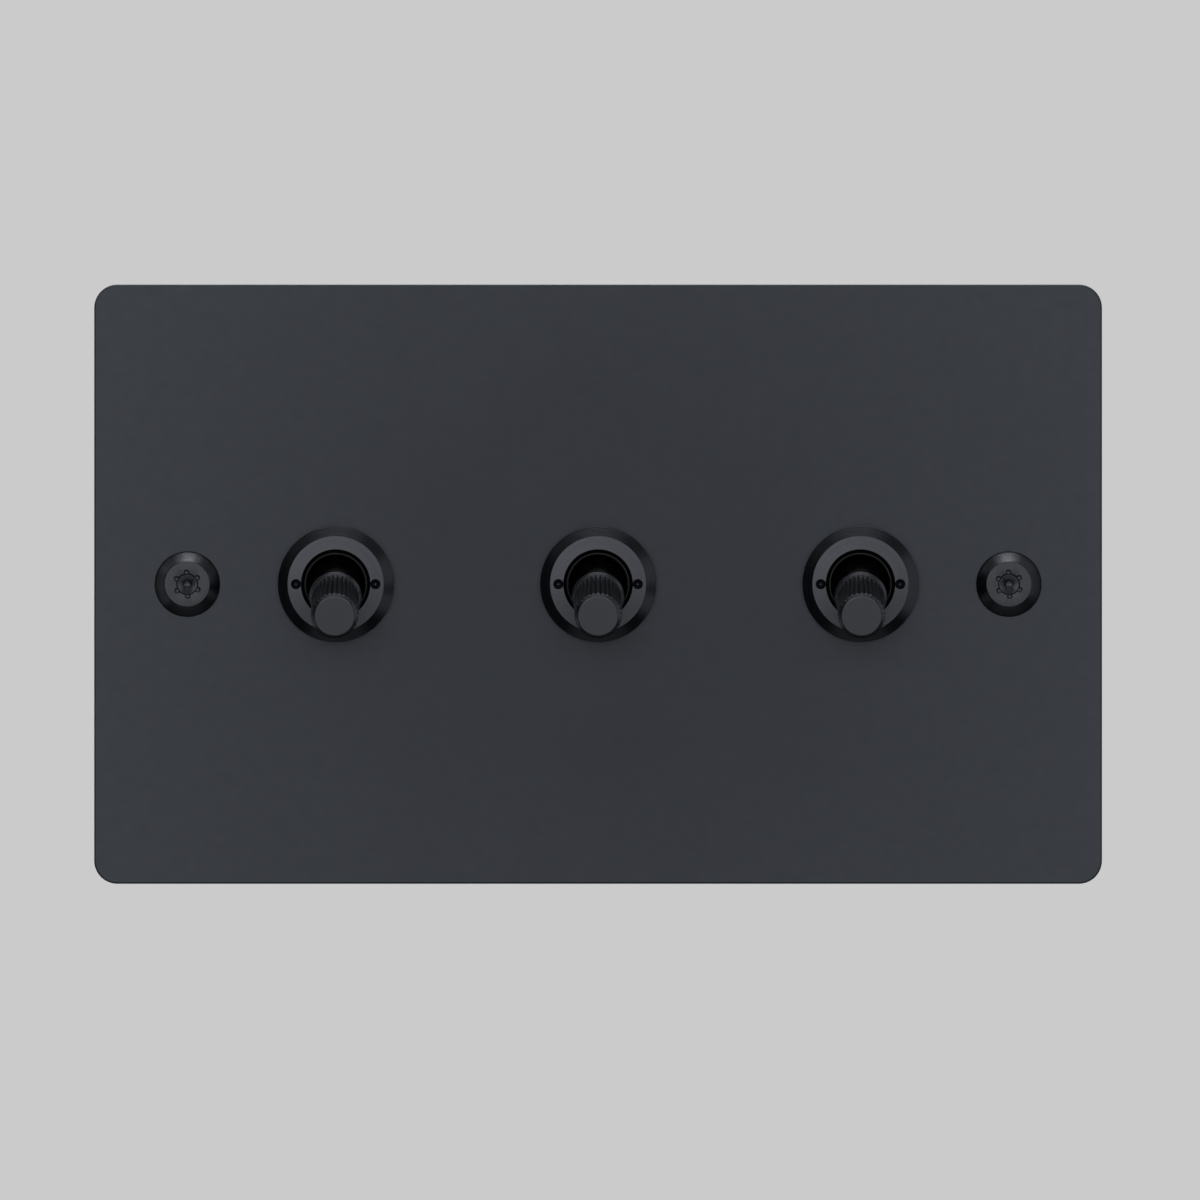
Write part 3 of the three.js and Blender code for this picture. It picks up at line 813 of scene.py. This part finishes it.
def plunger_spring():
    """A coil of round wire whose first and last turns lie closed."""
    start = TAIL_BORE_START + WIRE_RADIUS + SPRING_GAP
    end = PLUNGER_START - WIRE_RADIUS - SPRING_GAP
    closed_rise = 2.1 * WIRE_RADIUS
    active = SPRING_TURNS - 2 * CLOSED_TURNS
    rise = (end - start - 2 * closed_rise * CLOSED_TURNS) / active
    per_turn = 36
    sides = 12
    rows = []
    for i in range(SPRING_TURNS * per_turn + 1):
        turn = i / per_turn
        low = min(turn, CLOSED_TURNS) * closed_rise
        middle = min(max(turn - CLOSED_TURNS, 0), active) * rise
        high = max(turn - CLOSED_TURNS - active, 0) * closed_rise
        y = start + low + middle + high
        angle = 2 * pi * turn
        row = []
        for j in range(sides):
            around = 2 * pi * j / sides
            radius = SPRING_RADIUS + WIRE_RADIUS * cos(around)
            side = WIRE_RADIUS * sin(around)
            row.append((radius * cos(angle), y + side, radius * sin(angle)))
        rows.append(row)
    return skin_rings(rows, caps=True)


# ---- The rocker, drawn with its fulcrum at the origin ----

BLADE_THICKNESS = 0.8
BLADE_WIDTH = 5
BLADE_REACH = 9
NOSE_GAP = 0.1
TROUGH_HALF = 42
BUTTON_RADIUS = 1.1
BUTTON_THICKNESS = 0.6
BUTTON_REACH = 8.2
FULCRUM_REACH = NOSE_CENTRE + NOSE_RADIUS + NOSE_GAP + BLADE_THICKNESS
FULCRUM_DEPTH = PIVOT_DEPTH + FULCRUM_REACH


def nose_in_rocker(angle):
    """The nose's centre in the rocker's frame, (y, z), when the toggle stands at this angle."""
    y = NOSE_CENTRE * cos(angle) - FULCRUM_REACH
    z = NOSE_CENTRE * sin(angle)
    tilt = angle * ROCKER_TILT / TOGGLE_TILT
    return y * cos(tilt) - z * sin(tilt), y * sin(tilt) + z * cos(tilt)


def blade_outline():
    """The blade's side view, (y, z): a trough on the nose's path between two straight arms."""
    middle = nose_in_rocker(0)
    end = nose_in_rocker(TOGGLE_TILT)
    drop = middle[0] - end[0]
    path_radius = (end[1] ** 2 + drop ** 2) / (2 * drop)
    inner = path_radius + NOSE_RADIUS + NOSE_GAP
    outer = inner + BLADE_THICKNESS
    slope = tan(ROCKER_TILT)
    half = radians(TROUGH_HALF)
    knee = (inner * cos(half) - outer, inner * sin(half))
    tip_front = knee[0] - (BLADE_REACH - knee[1]) * slope
    tip_rear = tip_front + BLADE_THICKNESS / cos(ROCKER_TILT)
    outline = arc(-outer, 0, inner, -TROUGH_HALF, TROUGH_HALF, 32)
    outline += [(tip_front, BLADE_REACH), (tip_rear, BLADE_REACH)]
    outline += arc(-outer, 0, outer, TROUGH_HALF, -TROUGH_HALF, 32)
    outline += [(tip_rear, -BLADE_REACH), (tip_front, -BLADE_REACH)]
    button_rear = tip_rear + (BLADE_REACH - BUTTON_REACH) * slope
    return outline, button_rear


def rocker_contact():
    """A formed brass blade with a riveted contact button near each end."""
    outline, button_rear = blade_outline()
    half = BLADE_WIDTH / 2
    edge = 0.08
    levels = ((-half, edge), (-half + edge, 0), (half - edge, 0), (half, edge))
    middle_y = sum(y for y, _ in outline) / len(outline)
    rows = []
    for x, inset in levels:
        share = 1 - inset / BLADE_REACH
        rows.append([(x, middle_y + (y - middle_y) * share, z * share) for y, z in outline])
    steps = []
    for side in (-1, 1):
        button = fillet([
            (0, -BUTTON_THICKNESS, 0),
            (BUTTON_RADIUS, -BUTTON_THICKNESS, 0),
            (BUTTON_RADIUS, BUTTON_THICKNESS, 0.2),
            (0, BUTTON_THICKNESS, 0),
        ])
        bm = turned(lathe(button, MEDIUM), side * ROCKER_TILT, "X")
        steps.append(("join", moved(bm, 0, button_rear, side * BUTTON_REACH)))
    return combine(skin_rings(rows, caps=True), *steps)


# ---- Terminals ----

TERMINAL_HEIGHT = 7.4
TERMINAL_DEPTH = 7
WIRE_BORE = 1.9
CLAMP_HOLE = 1.75
CLAMP_RADIUS = 1.65
CLAMP_PROUD = 0.8
CLAMP_SLOT = 0.6
CLAMP_SLOT_DEPTH = 0.8
CLAMP_POINT = 0.3
CLAMP_PITCH = 0.5
CLAMP_THREAD_DEPTH = 0.15
BORE_FLARES = (0.3, 0.3)
CONTACT_GAP = 0.15
POST_OVERLAP = 0.5


def terminal_block(rear):
    """A brass block with a wire bore across it and a threaded hole for its clamping screw."""
    wire_depth = rear - WIRE_INSET
    block = box(TERMINAL_LENGTH, TERMINAL_HEIGHT, rear - TERMINAL_DEPTH, rear, 0, 0, 0.25)
    half = TERMINAL_LENGTH / 2
    wire_bore = moved(along_x(drill(WIRE_BORE, -half, half, BORE_FLARES)), 0, wire_depth)
    flared = mouth(CLAMP_HOLE, rear, 1, 0.2)
    thread_span = (wire_depth + 0.2, rear - 0.3)
    rows = rings([(0, wire_depth), (CLAMP_HOLE, wire_depth)], MEDIUM)
    rows += thread(CLAMP_HOLE, -CLAMP_THREAD_DEPTH, CLAMP_PITCH, *thread_span, MEDIUM)
    rows += rings([*flared, (0, rear + PAST)], MEDIUM)
    return combine(block, ("cut", wire_bore), ("cut", skin_rings(rows)))


def switch_terminal(place):
    """A terminal with a post that reaches forward to the rocker."""
    block = moved(terminal_block(TERMINAL_REAR), 0, 0, place * TERMINAL_PITCH)
    contact = FULCRUM_DEPTH + CONTACT_GAP
    post_end = TERMINAL_REAR - TERMINAL_DEPTH + POST_OVERLAP
    centre = (0, place * OUTER_POST)
    post = slab(POST_WIDTH, POST_HEIGHT, 0.3, contact, post_end, 0.2, centre)
    return combine(block, ("join", post))


def clamp_screw(rear):
    """A slotted grub screw, backed off so that the wire bore is open."""
    start = rear - WIRE_INSET + WIRE_BORE
    end = rear + CLAMP_PROUD
    shoulder = (CLAMP_RADIUS - 0.05, start + 0.2)
    thread_span = (start + 0.25, end - 0.35)
    rows = rings([(0, start), (CLAMP_RADIUS - CLAMP_POINT, start), shoulder], MEDIUM)
    rows += thread(CLAMP_RADIUS, CLAMP_THREAD_DEPTH, CLAMP_PITCH, *thread_span, MEDIUM)
    crown = fillet([(CLAMP_RADIUS, end - 0.3, 0), (CLAMP_RADIUS, end, 0.2), (0, end, 0)])
    rows += rings(crown, MEDIUM)
    slot = box(3 * CLAMP_RADIUS, CLAMP_SLOT, end - CLAMP_SLOT_DEPTH, end + PAST)
    return combine(skin_rings(rows), ("cut", slot))


# ---- Materials ----

class Look:
    """A material built up node by node round one Principled shader."""

    def __init__(self, name, metallic, **fixed):
        self.material = bpy.data.materials.new(name)
        self.material.use_nodes = True
        self.tree = self.material.node_tree
        self.shader = self.tree.nodes["Principled BSDF"]
        self.shader.inputs["Metallic"].default_value = metallic
        for socket, value in fixed.items():
            self.shader.inputs[socket.replace("_", " ")].default_value = value

    def node(self, kind, inputs=(), output=0, **settings):
        """One output of a node whose inputs are set to numbers or colours or linked to sockets."""
        node = self.tree.nodes.new("ShaderNode" + kind)
        for name, value in settings.items():
            setattr(node, name, value)
        for name, value in dict(inputs).items():
            socket = node.inputs[name]
            if isinstance(value, bpy.types.NodeSocket):
                self.tree.links.new(value, socket)
            else:
                socket.default_value = (*value, 1) if socket.type == "RGBA" else value
        return node.outputs[output]

    def stretched(self, place, scale):
        """A place scaled along each axis, for finer marks where the number is higher."""
        return self.node("VectorMath", {0: place, 1: scale}, operation="MULTIPLY")

    def place(self):
        """Where a point is in the piece's own frame, in millimetres."""
        source = self.node("TexCoord", output="Object")
        return self.stretched(source, (1 / MM, 1 / MM, 1 / MM))

    def length(self, vector):
        """How far a place is from the origin."""
        return self.node("VectorMath", {0: vector}, "Value", operation="LENGTH")

    def round_axis(self, place):
        """The place as (distance from the Y axis, y, a slight drift), for marks left by turning."""
        parts = self.tree.nodes.new("ShaderNodeSeparateXYZ")
        self.tree.links.new(place, parts.inputs[0])
        x, y, z = parts.outputs
        radius = self.length(self.node("CombineXYZ", {0: x, 2: z}))
        across = self.node("Math", {0: x, 1: 0.06}, operation="MULTIPLY")
        drift = self.node("Math", {0: z, 1: 0.1, 2: across}, operation="MULTIPLY_ADD")
        return self.node("CombineXYZ", {0: radius, 1: y, 2: drift})

    def turning(self, scale, detail=3, roughness=0.7):
        """Marks left by turning, scaled by (distance from the axis, along it, drift)."""
        place = self.stretched(self.round_axis(self.place()), scale)
        return self.noise(place, 1.0, detail, roughness)

    def noise(self, vector, scale, detail, roughness=0.55):
        """Noise with about this many features to a millimetre."""
        return self.node("TexNoise", {
            "Vector": vector, "Scale": scale, "Detail": detail, "Roughness": roughness,
        })

    def span(self, value, low, high, start=0.3, end=0.7):
        """The value spread from its usual span to lie between two numbers."""
        return self.node("MapRange", {
            "Value": value, "From Min": start, "From Max": end, "To Min": low, "To Max": high,
        })

    def between(self, factor, first, second):
        """A colour that runs from the first to the second with the factor."""
        ramp = self.tree.nodes.new("ShaderNodeValToRGB")
        stops = zip(ramp.color_ramp.elements, (0.3, 0.7), (first, second))
        for stop, position, colour in stops:
            stop.position = position
            stop.color = (*colour, 1)
        self.tree.links.new(factor, ramp.inputs[0])
        return ramp.outputs[0]

    def mixed(self, factor, first, second):
        """Two colours or colour sockets mixed by the factor."""
        inputs = {"Factor": factor, 6: first, 7: second}
        return self.node("Mix", inputs, 2, data_type="RGBA")

    def bump(self, height, distance, strength, under=None):
        """A relief as deep as the distance in millimetres, over another where one is given."""
        inputs = {"Height": height, "Distance": distance * MM, "Strength": strength}
        if under is not None:
            inputs["Normal"] = under
        return self.node("Bump", inputs)

    def finish(self, colour, roughness, normal=None):
        """The material, with its colour, roughness and relief linked to the shader."""
        self.tree.links.new(colour, self.shader.inputs["Base Color"])
        self.tree.links.new(roughness, self.shader.inputs["Roughness"])
        if normal is not None:
            self.tree.links.new(normal, self.shader.inputs["Normal"])
        return self.material


def tint(value, cast):
    """A colour of this brightness with the cast of the finish."""
    return tuple(value * share for share in cast)


# The two blue-grey casts of the black finish.
COOL = (0.91, 1.0, 1.18)
NEUTRAL = (0.965, 1.0, 1.12)
# From and to what distance from the plate's middle, in millimetres, painted light makes the plate
# paler.
PAINTED_EDGE_LIGHT_SPAN = (25, 80)


def plate_look():
    """Satin black metal with a fine grain along the plate, clouded, with painted light paler to its
    edges.
    """
    look = Look("plate_black", 0.85)
    place = look.place()
    clouds = look.noise(place, 0.045, 3)
    mottle = look.noise(place, 0.5, 4)
    grain = look.noise(look.stretched(place, (0.12, 3, 3)), 2.2, 4, 0.7)
    flecks = look.noise(place, 9, 2)
    tone = look.between(clouds, tint(0.045, COOL), tint(0.051, COOL))
    worn = look.between(mottle, tint(0.047, COOL), tint(0.053, COOL))
    coat = look.mixed(grain, tone, worn)
    # Painted light: the colour is mixed towards a paler tone from the plate's middle out to its
    # edges, a brightening painted into the finish.
    thin = look.span(look.length(place), 0.0, 1.0, *PAINTED_EDGE_LIGHT_SPAN)
    pale = look.between(mottle, tint(0.06, COOL), tint(0.066, COOL))
    colour = look.mixed(thin, coat, pale)
    roughness = look.span(grain, 0.36, 0.44)
    normal = look.bump(grain, 0.004, 0.35)
    normal = look.bump(flecks, 0.003, 0.25, normal)
    return look.finish(colour, roughness, normal)


def turned_look(name, value, low, high, depth):
    """Black over turned metal with its fine rings: brightness, roughness span, rings' depth."""
    look = Look(name, 1.0)
    place = look.place()
    tool = look.turning((9, 9, 1.2), 4)
    coarse = look.turning((2.2, 2.2, 0.6), 3, 0.55)
    clouds = look.noise(place, 0.4, 3)
    base = look.between(tool, tint(value * 0.9, NEUTRAL), tint(value * 1.1, NEUTRAL))
    worn = look.between(coarse, tint(value * 0.94, COOL), tint(value * 1.12, NEUTRAL))
    colour = look.mixed(clouds, base, worn)
    roughness = look.span(tool, low, high)
    normal = look.bump(tool, depth, 0.5)
    return look.finish(colour, roughness, normal)


def lever_look():
    """Blackened steel with a thin film of grease."""
    look = Look("lever_black", 0.8)
    place = look.place()
    smear = look.noise(place, 0.9, 3)
    tool = look.turning((8, 8, 1))
    colour = look.between(smear, (0.006, 0.006, 0.0075), (0.012, 0.012, 0.014))
    roughness = look.span(smear, 0.24, 0.4)
    return look.finish(colour, roughness, look.bump(tool, 0.003, 0.4))


def bush_look():
    """Black plating over die-cast metal: a grainy skin with faint brighter high spots."""
    look = Look("bush_black", 0.9)
    place = look.place()
    stain = look.noise(place, 0.35, 4)
    skin = look.noise(place, 4.5, 5, 0.65)
    base = look.between(stain, (0.014, 0.014, 0.015), (0.026, 0.026, 0.027))
    colour = look.mixed(skin, base, (0.034, 0.034, 0.035))
    roughness = look.span(skin, 0.34, 0.52)
    return look.finish(colour, roughness, look.bump(skin, 0.01, 0.5))


def steel_look():
    """Bright zinc plate, faintly blue and yellow, over turned steel."""
    look = Look("zinc_plated_steel", 1.0)
    place = look.place()
    tool = look.turning((9, 9, 1))
    film = look.noise(place, 0.8, 2)
    base = look.between(film, (0.52, 0.54, 0.58), (0.60, 0.58, 0.53))
    colour = look.mixed(tool, base, (0.66, 0.66, 0.67))
    roughness = look.span(tool, 0.2, 0.38)
    return look.finish(colour, roughness, look.bump(tool, 0.004, 0.4))


def brass_look():
    """Machined brass with straight cutter marks and the first brown of tarnish."""
    look = Look("machined_brass", 1.0)
    place = look.place()
    marks = look.noise(look.stretched(place, (1.2, 9, 9)), 1.0, 4, 0.7)
    tarnish = look.noise(place, 0.5, 5)
    bright = look.between(marks, (0.62, 0.42, 0.15), (0.76, 0.55, 0.23))
    dull = look.between(tarnish, (0.66, 0.46, 0.18), (0.38, 0.23, 0.08))
    colour = look.mixed(tarnish, bright, dull)
    roughness = look.span(tarnish, 0.24, 0.44)
    return look.finish(colour, roughness, look.bump(marks, 0.006, 0.45))


def plastic_look(name, first, second):
    """A moulding with the fine texture of a spark-eroded tool and slight flow marks."""
    look = Look(name, 0.0)
    place = look.place()
    flow = look.noise(look.stretched(place, (0.25, 0.25, 0.08)), 1.0, 3)
    texture = look.noise(place, 6.5, 3, 0.6)
    colour = look.mixed(texture, look.between(flow, first, second), second)
    roughness = look.span(texture, 0.42, 0.62)
    return look.finish(colour, roughness, look.bump(texture, 0.02, 0.5))


def fibre_look():
    """Red vulcanised fibre: matt, with short darker fibres pressed flat."""
    look = Look("vulcanised_fibre", 0.0)
    place = look.place()
    fibres = look.noise(look.stretched(place, (2.5, 8, 0.8)), 1.4, 5, 0.7)
    blotch = look.noise(place, 0.6, 3)
    first = look.between(fibres, (0.16, 0.032, 0.02), (0.09, 0.02, 0.014))
    colour = look.mixed(blotch, first, (0.2, 0.05, 0.03))
    roughness = look.span(fibres, 0.7, 0.92)
    return look.finish(colour, roughness, look.bump(fibres, 0.02, 0.6))


def nylon_look():
    """Natural nylon: milky, waxy and slightly uneven."""
    look = Look("natural_nylon", 0.0, Subsurface_Weight=0.15)
    look.shader.inputs["Subsurface Radius"].default_value = (0.001, 0.001, 0.0008)
    place = look.place()
    milk = look.noise(place, 0.8, 3)
    skin = look.noise(place, 7, 3)
    colour = look.between(milk, (0.62, 0.6, 0.53), (0.75, 0.73, 0.67))
    roughness = look.span(skin, 0.38, 0.52)
    return look.finish(colour, roughness, look.bump(skin, 0.008, 0.4))


plate_black = plate_look()
# Painted light: the ring, the fixing screws' heads and the knob share one black finish, given three
# brightnesses here. The knob's is painted lighter and the screws' painted darker than the ring's,
# to match how bright each looked as lit.
ring_black = turned_look("ring_black", 0.068, 0.24, 0.34, 0.006)
screw_black_painted_darker = turned_look("screw_black_painted_darker", 0.058, 0.24, 0.34, 0.008)
knob_black_painted_lighter = turned_look("knob_black_painted_lighter", 0.094, 0.26, 0.36, 0.006)
lever_black = lever_look()
bush_black = bush_look()
zinc_steel = steel_look()
brass = brass_look()
cover_plastic = plastic_look("cover_plastic", (0.011, 0.011, 0.012), (0.016, 0.016, 0.017))
base_plastic = plastic_look("base_plastic", (0.032, 0.033, 0.035), (0.044, 0.045, 0.048))
fibre = fibre_look()
nylon = nylon_look()


# ---- Putting the pieces in place ----

BODY_OF = {
    node: body for body, nodes in frame["record"]["behaviour"]["bodies"].items() for node in nodes
}


def placed(mesh, node, x=0.0, y=0.0, z=0.0, tilt=0.0):
    """The mesh shown in place of the CAD node, at a point in millimetres and turned about X."""
    piece = bpy.data.objects.new(node + "_fine", mesh)
    scene.collection.objects.link(piece)
    place = Matrix.Translation((x * MM, y * MM, z * MM))
    piece.matrix_world = place @ Matrix.Rotation(tilt, 4, "X")
    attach(piece, BODY_OF[node])
    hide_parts(node)
    return piece


def made(*pairs):
    """Each piece's name and mesh, from the function that is named after it and its look."""
    return [(make.__name__, finished(make(), make.__name__, look)) for make, look in pairs]


def shorten(spring):
    """Gives the spring a mesh of its own; the real spring shortens towards the bottom of its bore
    as the plunger slides in, which this doesn't draw.
    """
    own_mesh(spring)


def place_plate():
    """The plate, its fixing screws and their washers, and the earth terminal."""
    placed(finished(front_plate(), "front_plate", plate_black), "front_plate")
    screw = finished(fixing_screw(), "fixing_screw", screw_black_painted_darker)
    retainer = finished(screw_retainer(), "screw_retainer", nylon)
    for side, x in (("left", -SCREW_PLACE), ("right", SCREW_PLACE)):
        placed(screw, side + "_fixing_screw", x, PLATE_FRONT)
        placed(retainer, side + "_screw_retainer", x)
    low, high = node_box("earth_terminal")
    z = (low.z + high.z) / 2
    block = finished(terminal_block(high.y), "earth_terminal", brass)
    placed(block, "earth_terminal", 0, 0, z)
    earth_screw = finished(clamp_screw(high.y), "earth_screw", zinc_steel)
    placed(earth_screw, "earth_terminal_screw", 0, 0, z)


def place_switches():
    """The three switches, from one mesh of each piece."""
    fixed = made(
        (bezel_ring, ring_black),
        (bush, bush_black),
        (seal_ring, fibre),
        (pivot_pin, lever_black),
        (housing_cover, cover_plastic),
        (housing_base, base_plastic),
    )
    toggle = made(
        (toggle_knob, knob_black_painted_lighter),
        (toggle_lever, lever_black),
        (plunger_spring, zinc_steel),
        (plunger, brass),
    )
    rocker = finished(rocker_contact(), "rocker_contact", brass)
    screw = finished(clamp_screw(TERMINAL_REAR), "terminal_screw", zinc_steel)
    blocks = {
        name: finished(switch_terminal(place), name + "_terminal", brass)
        for name, place in TERMINALS
    }
    for side, x in zip(SIDES, (-SWITCH_PITCH, 0, SWITCH_PITCH)):
        for name, mesh in fixed:
            placed(mesh, side + "_" + name, x)
        for name, mesh in toggle:
            piece = placed(mesh, side + "_" + name, x, PIVOT_DEPTH, 0, TOGGLE_TILT)
            if name == "plunger_spring":
                shorten(piece)
        placed(rocker, side + "_rocker_contact", x, FULCRUM_DEPTH, 0, -ROCKER_TILT)
        for name, place in TERMINALS:
            placed(blocks[name], side + "_" + name + "_terminal", x)
            z = place * TERMINAL_PITCH
            placed(screw, side + "_" + name + "_terminal_screw", x, 0, z)


place_plate()
place_switches()


# ---- The studio ----

# The backdrop as the camera sees it, and the dim one that lights and reflects in the pieces.
BACKDROP = (0.597, 0.597, 0.597, 1)
REFLECTED = (0.006, 0.006, 0.008, 1)
FLOOR_HEIGHT = -0.16
FLOOR_RADIUS = 1.2
PANEL_DISTANCE = 1.6
CAMERA_DISTANCE = 3.0
PLATE_SHARE = 0.84
CAMERA_RIGHT = 0.0016
CAMERA_DOWN = 0.0132


def backdrop():
    """A flat pale grey behind everything, which only the camera sees."""
    world = bpy.data.worlds.new("studio")
    scene.world = world
    world.use_nodes = True
    nodes = world.node_tree.nodes
    links = world.node_tree.links
    seen = nodes.new("ShaderNodeBackground")
    seen.inputs["Color"].default_value = BACKDROP
    dim = nodes["Background"]
    dim.inputs["Color"].default_value = REFLECTED
    mix = nodes.new("ShaderNodeMixShader")
    path = nodes.new("ShaderNodeLightPath")
    links.new(path.outputs["Is Camera Ray"], mix.inputs[0])
    links.new(dim.outputs[0], mix.inputs[1])
    links.new(seen.outputs[0], mix.inputs[2])
    links.new(mix.outputs[0], nodes["World Output"].inputs[0])


def floor():
    """A plain pale disc under the plate, which neither reflects in it nor blocks its lights."""
    bm = bmesh.new()
    bmesh.ops.create_circle(bm, cap_ends=True, segments=96, radius=FLOOR_RADIUS)
    mesh = bpy.data.meshes.new("floor")
    bm.to_mesh(mesh)
    bm.free()
    disc = bpy.data.objects.new("floor", mesh)
    disc.location.z = FLOOR_HEIGHT
    scene.collection.objects.link(disc)
    look = Look("floor_paper", 0.0)
    tooth = look.noise(look.place(), 0.4, 4)
    colour = look.between(tooth, (0.56, 0.56, 0.56), (0.6, 0.6, 0.6))
    mesh.materials.append(look.finish(colour, look.span(tooth, 0.8, 0.95)))
    disc.visible_glossy = False
    disc.visible_shadow = False


def panel(name, azimuth, elevation, width, height, radiance):
    """A soft rectangular light that faces the plate, placed and sized by angles in degrees.

    Azimuth 0 is in front of the plate and 90 is to its right.
    """
    data = bpy.data.lights.new(name, "AREA")
    data.shape = "RECTANGLE"
    data.size = 2 * PANEL_DISTANCE * tan(radians(width / 2))
    data.size_y = 2 * PANEL_DISTANCE * tan(radians(height / 2))
    data.energy = radiance * pi * data.size * data.size_y
    light = bpy.data.objects.new(name, data)
    around = radians(azimuth)
    up = radians(elevation)
    level = cos(up)
    ahead = Vector((sin(around) * level, -cos(around) * level, sin(up)))
    light.location = ahead * PANEL_DISTANCE
    light.rotation_euler = ahead.to_track_quat("Z", "Y").to_euler()
    light.visible_camera = False
    scene.collection.objects.link(light)


def lights():
    """Soft panels in front of the plate, and narrower ones for its edges and its rear."""
    panel("front_low", 0, -32, 50, 20, 0.5)
    panel("front", 0, -12, 80, 20, 0.54)
    panel("front_left", -20, 11, 40, 26, 1.28)
    panel("front_right", 20, 11, 40, 26, 1.02)
    panel("high", 0, 55, 52, 20, 0.5)
    panel("high_wide", 0, 43, 100, 38, 0.14)
    panel("top", 0, 95, 24, 22, 3.9)
    panel("top_wide", 0, 94, 50, 22, 1.8)
    panel("top_widest", 0, 92, 124, 16, 0.85)
    panel("right", 75, 0, 26, 60, 0.42)
    panel("right_edge", 93, 0, 14, 50, 0.2)
    panel("left_edge", -93, -4, 14, 76, 0.5)
    panel("below", 0, -75, 60, 20, 0.16)
    panel("below_wide", 0, -90, 124, 16, 0.14)
    panel("rear", 180, 10, 70, 60, 1.1)
    panel("rear_left", -138, 25, 36, 50, 1.5)
    panel("rear_right", 138, 25, 36, 50, 0.8)


def camera():
    """A long lens square to the plate, which takes PLATE_SHARE of the picture's width."""
    picture = PLATE_WIDTH * MM / PLATE_SHARE
    data = bpy.data.cameras.new("camera")
    data.sensor_width = 36
    data.lens = data.sensor_width * (CAMERA_DISTANCE + PLATE_FRONT * MM) / picture
    data.clip_end = 20
    view = bpy.data.objects.new("camera", data)
    view.location = (CAMERA_RIGHT * picture, -CAMERA_DISTANCE, -CAMERA_DOWN * picture)
    view.rotation_euler = (radians(90), 0, 0)
    scene.collection.objects.link(view)
    scene.camera = view


backdrop()
floor()
lights()
camera()
scene.view_settings.view_transform = "Standard"
